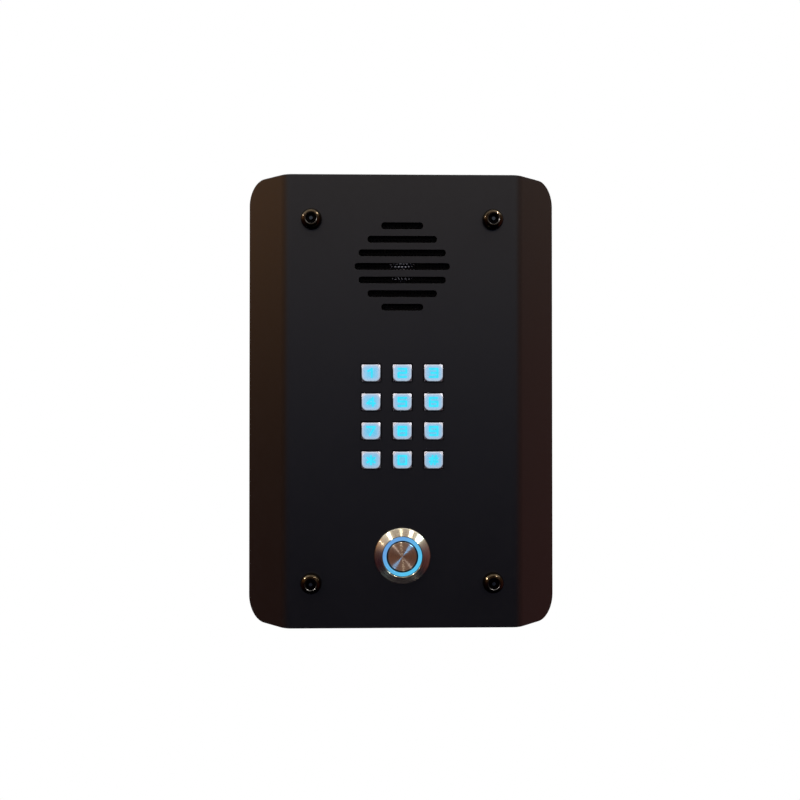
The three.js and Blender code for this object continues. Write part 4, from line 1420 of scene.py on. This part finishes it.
BUTTON_FACE = Vector((0, FRONT_Y - BUTTON_PROUD * MM, BUTTON_Z * MM))
KEYPAD_CENTRE = Vector((0, FRONT_Y - KEY_PROUD * MM, KEY_PLACES["5"].z * MM))


def area_light(name, width, height, watts, color):
    data = bpy.data.lights.new(name, "AREA")
    data.shape = "RECTANGLE"
    data.size, data.size_y = width, height
    data.energy = watts
    data.color = color
    obj = linked(name, data)
    obj.visible_camera = False
    return obj


def lamp(name, lit, clock, tilt, width, height, watts, color=(1, 1, 1), at=BUTTON_FACE, distance=0.9):
    """A lamp that metal at a point mirrors to the camera where it faces clock and tilt, in degrees. Clock is
    anticlockwise from the right as seen from the front, and tilt is away from straight in front. The lamp's
    width runs round the clock. It lights one collection of pieces."""
    clock, tilt = math.radians(clock), math.radians(tilt)
    facing = Vector((math.cos(clock) * math.sin(tilt), -math.cos(tilt), math.sin(clock) * math.sin(tilt)))
    to_camera = (CAMERA_PLACE - at).normalized()
    to_light = 2 * facing.dot(to_camera) * facing - to_camera
    round_clock = Vector((-math.sin(clock), 0, math.cos(clock)))
    round_clock = (round_clock - to_light * round_clock.dot(to_light)).normalized()
    obj = area_light(name, width, height, watts, color)
    axes = Matrix((round_clock, to_light.cross(round_clock), to_light)).transposed().to_4x4()
    obj.matrix_world = Matrix.Translation(at + distance * to_light) @ axes
    obj.light_linking.receiver_collection = LAMP_TARGETS[lit]


def rear_fill():
    obj = area_light("rear_fill", 0.6, 0.6, 6, (1, 1, 1))
    obj.location = PLATE_CENTRE + Vector((0.35, 0.75, 0.5))
    aimed(obj, PLATE_CENTRE)


# Light that comes from each side, as (height, colour) stops. Height runs from -1, straight down, to 1,
# straight up.
FROM_FRONT = [
    (-0.35, (0.006, 0.004, 0.015)),
    (-0.12, (0.04, 0.043, 0.10)),
    (0.0, (0.125, 0.145, 0.28)),
    (0.14, (0.44, 0.48, 0.57)),
    (0.32, (1.20, 1.05, 0.97)),
    (0.60, (0.35, 0.24, 0.17)),
]
FROM_LEFT = [
    (-0.35, (0.09, 0.02, 0.02)),
    (0.0, (0.17, 0.08, 0.04)),
    (0.30, (0.95, 0.46, 0.18)),
    (0.60, (0.60, 0.40, 0.30)),
]
FROM_RIGHT = [
    (-0.35, (0.22, 0.07, 0.06)),
    (0.0, (0.28, 0.12, 0.10)),
    (0.30, (0.36, 0.24, 0.17)),
    (0.60, (0.40, 0.30, 0.25)),
]
FROM_BEHIND = [(-0.6, (0.12, 0.12, 0.13)), (0.0, (0.45, 0.45, 0.46)), (0.6, (1.0, 1.0, 1.0))]
FROM_ABOVE = (3.0, 3.05, 3.1)


class World(Tree):
    """The surroundings: white to the camera, and a softly lit room to everything else."""

    def __init__(self):
        world = bpy.data.worlds.new("studio")
        bpy.context.scene.world = world
        super().__init__(world)
        self.nodes.clear()
        self.toward = self.add("SeparateXYZ", self.add("TexCoord").outputs["Generated"]).outputs
        room = self.mix(self.step("X", -0.6, -0.85), self.heights(FROM_FRONT), self.heights(FROM_LEFT))
        room = self.mix(self.step("X", 0.6, 0.85), room, self.heights(FROM_RIGHT))
        room = self.mix(self.step("Y", 0.5, 0.85), room, self.heights(FROM_BEHIND))
        above = self.math("MULTIPLY", self.step("Z", 0.5, 0.65), self.step("Y", -0.48, -0.3))
        lighting = self.add("Background", self.mix(above, room, FROM_ABOVE))
        seen = self.add("Background", (1, 1, 1))
        to_camera = self.add("LightPath").outputs["Is Camera Ray"]
        shader = self.add("MixShader", to_camera, lighting.outputs[0], seen.outputs[0])
        self.add("OutputWorld", shader.outputs[0])

    def step(self, axis, start, end):
        """0 before start and 1 past end, along an axis of the direction looked in."""
        node = self.add("MapRange", self.toward[axis], start, end)
        node.interpolation_type = "SMOOTHSTEP"
        return node.outputs["Result"]

    def heights(self, stops):
        """A colour that changes with height as the stops say."""
        node = self.add("ValToRGB", self.ramp(self.toward["Z"], 0, 1, -1, 1))
        ramp = node.color_ramp
        while len(ramp.elements) < len(stops):
            ramp.elements.new(0.5)
        for element, (height, color) in zip(ramp.elements, stops):
            element.position = (height + 1) / 2
            element.color = (*color, 1)
        return node.outputs["Color"]


camera()
World()
floor()
lamp("bezel_right", "bezel", 47, 29, 0.15, 0.10, 4.2, (0.66, 0.90, 1.0))
lamp("bezel_upper", "bezel", 69, 31, 0.13, 0.08, 1.5, (1.0, 0.97, 0.88))
lamp("bezel_top", "bezel", 93, 29, 0.08, 0.10, 0.45, (1.0, 0.97, 0.82))
lamp("bezel_left", "bezel", 122, 28, 0.045, 0.12, 2.6, (1.0, 0.98, 0.93))
lamp("bezel_far_left", "bezel", 146, 33, 0.05, 0.06, 0.30, (1.0, 0.90, 0.75))
lamp("cap_sky", "cap", 51, 29, 0.20, 0.10, 26, (0.13, 0.46, 1.0))
lamp("cap_top", "cap", 96, 29, 0.012, 0.10, 4.2, (1.0, 0.93, 0.80))
lamp("cap_left", "cap", 129, 29, 0.012, 0.10, 6.4, (1.0, 0.93, 0.95))
lamp("cap_warmth", "cap", 150, 3, 0.5, 0.5, 0.34, (1.0, 0.46, 0.16))
lamp("screw_left", "screws", 150, 44, 0.07, 0.07, 8.0, at=PLATE_CENTRE)
lamp("screw_right", "screws", 57, 36, 0.07, 0.07, 8.0, at=PLATE_CENTRE)
lamp("key_right", "keys", 45, 29, 0.08, 0.08, 0.35, at=KEYPAD_CENTRE)
lamp("key_left", "keys", 135, 29, 0.08, 0.08, 0.30, at=KEYPAD_CENTRE)
lamp("speaker_lamp", "dust_cap", 90, 4, 0.06, 0.06, 1.1, (0.95, 0.93, 1.0), distance=0.45)
rear_fill()

bpy.context.scene.view_settings.view_transform = "Standard"
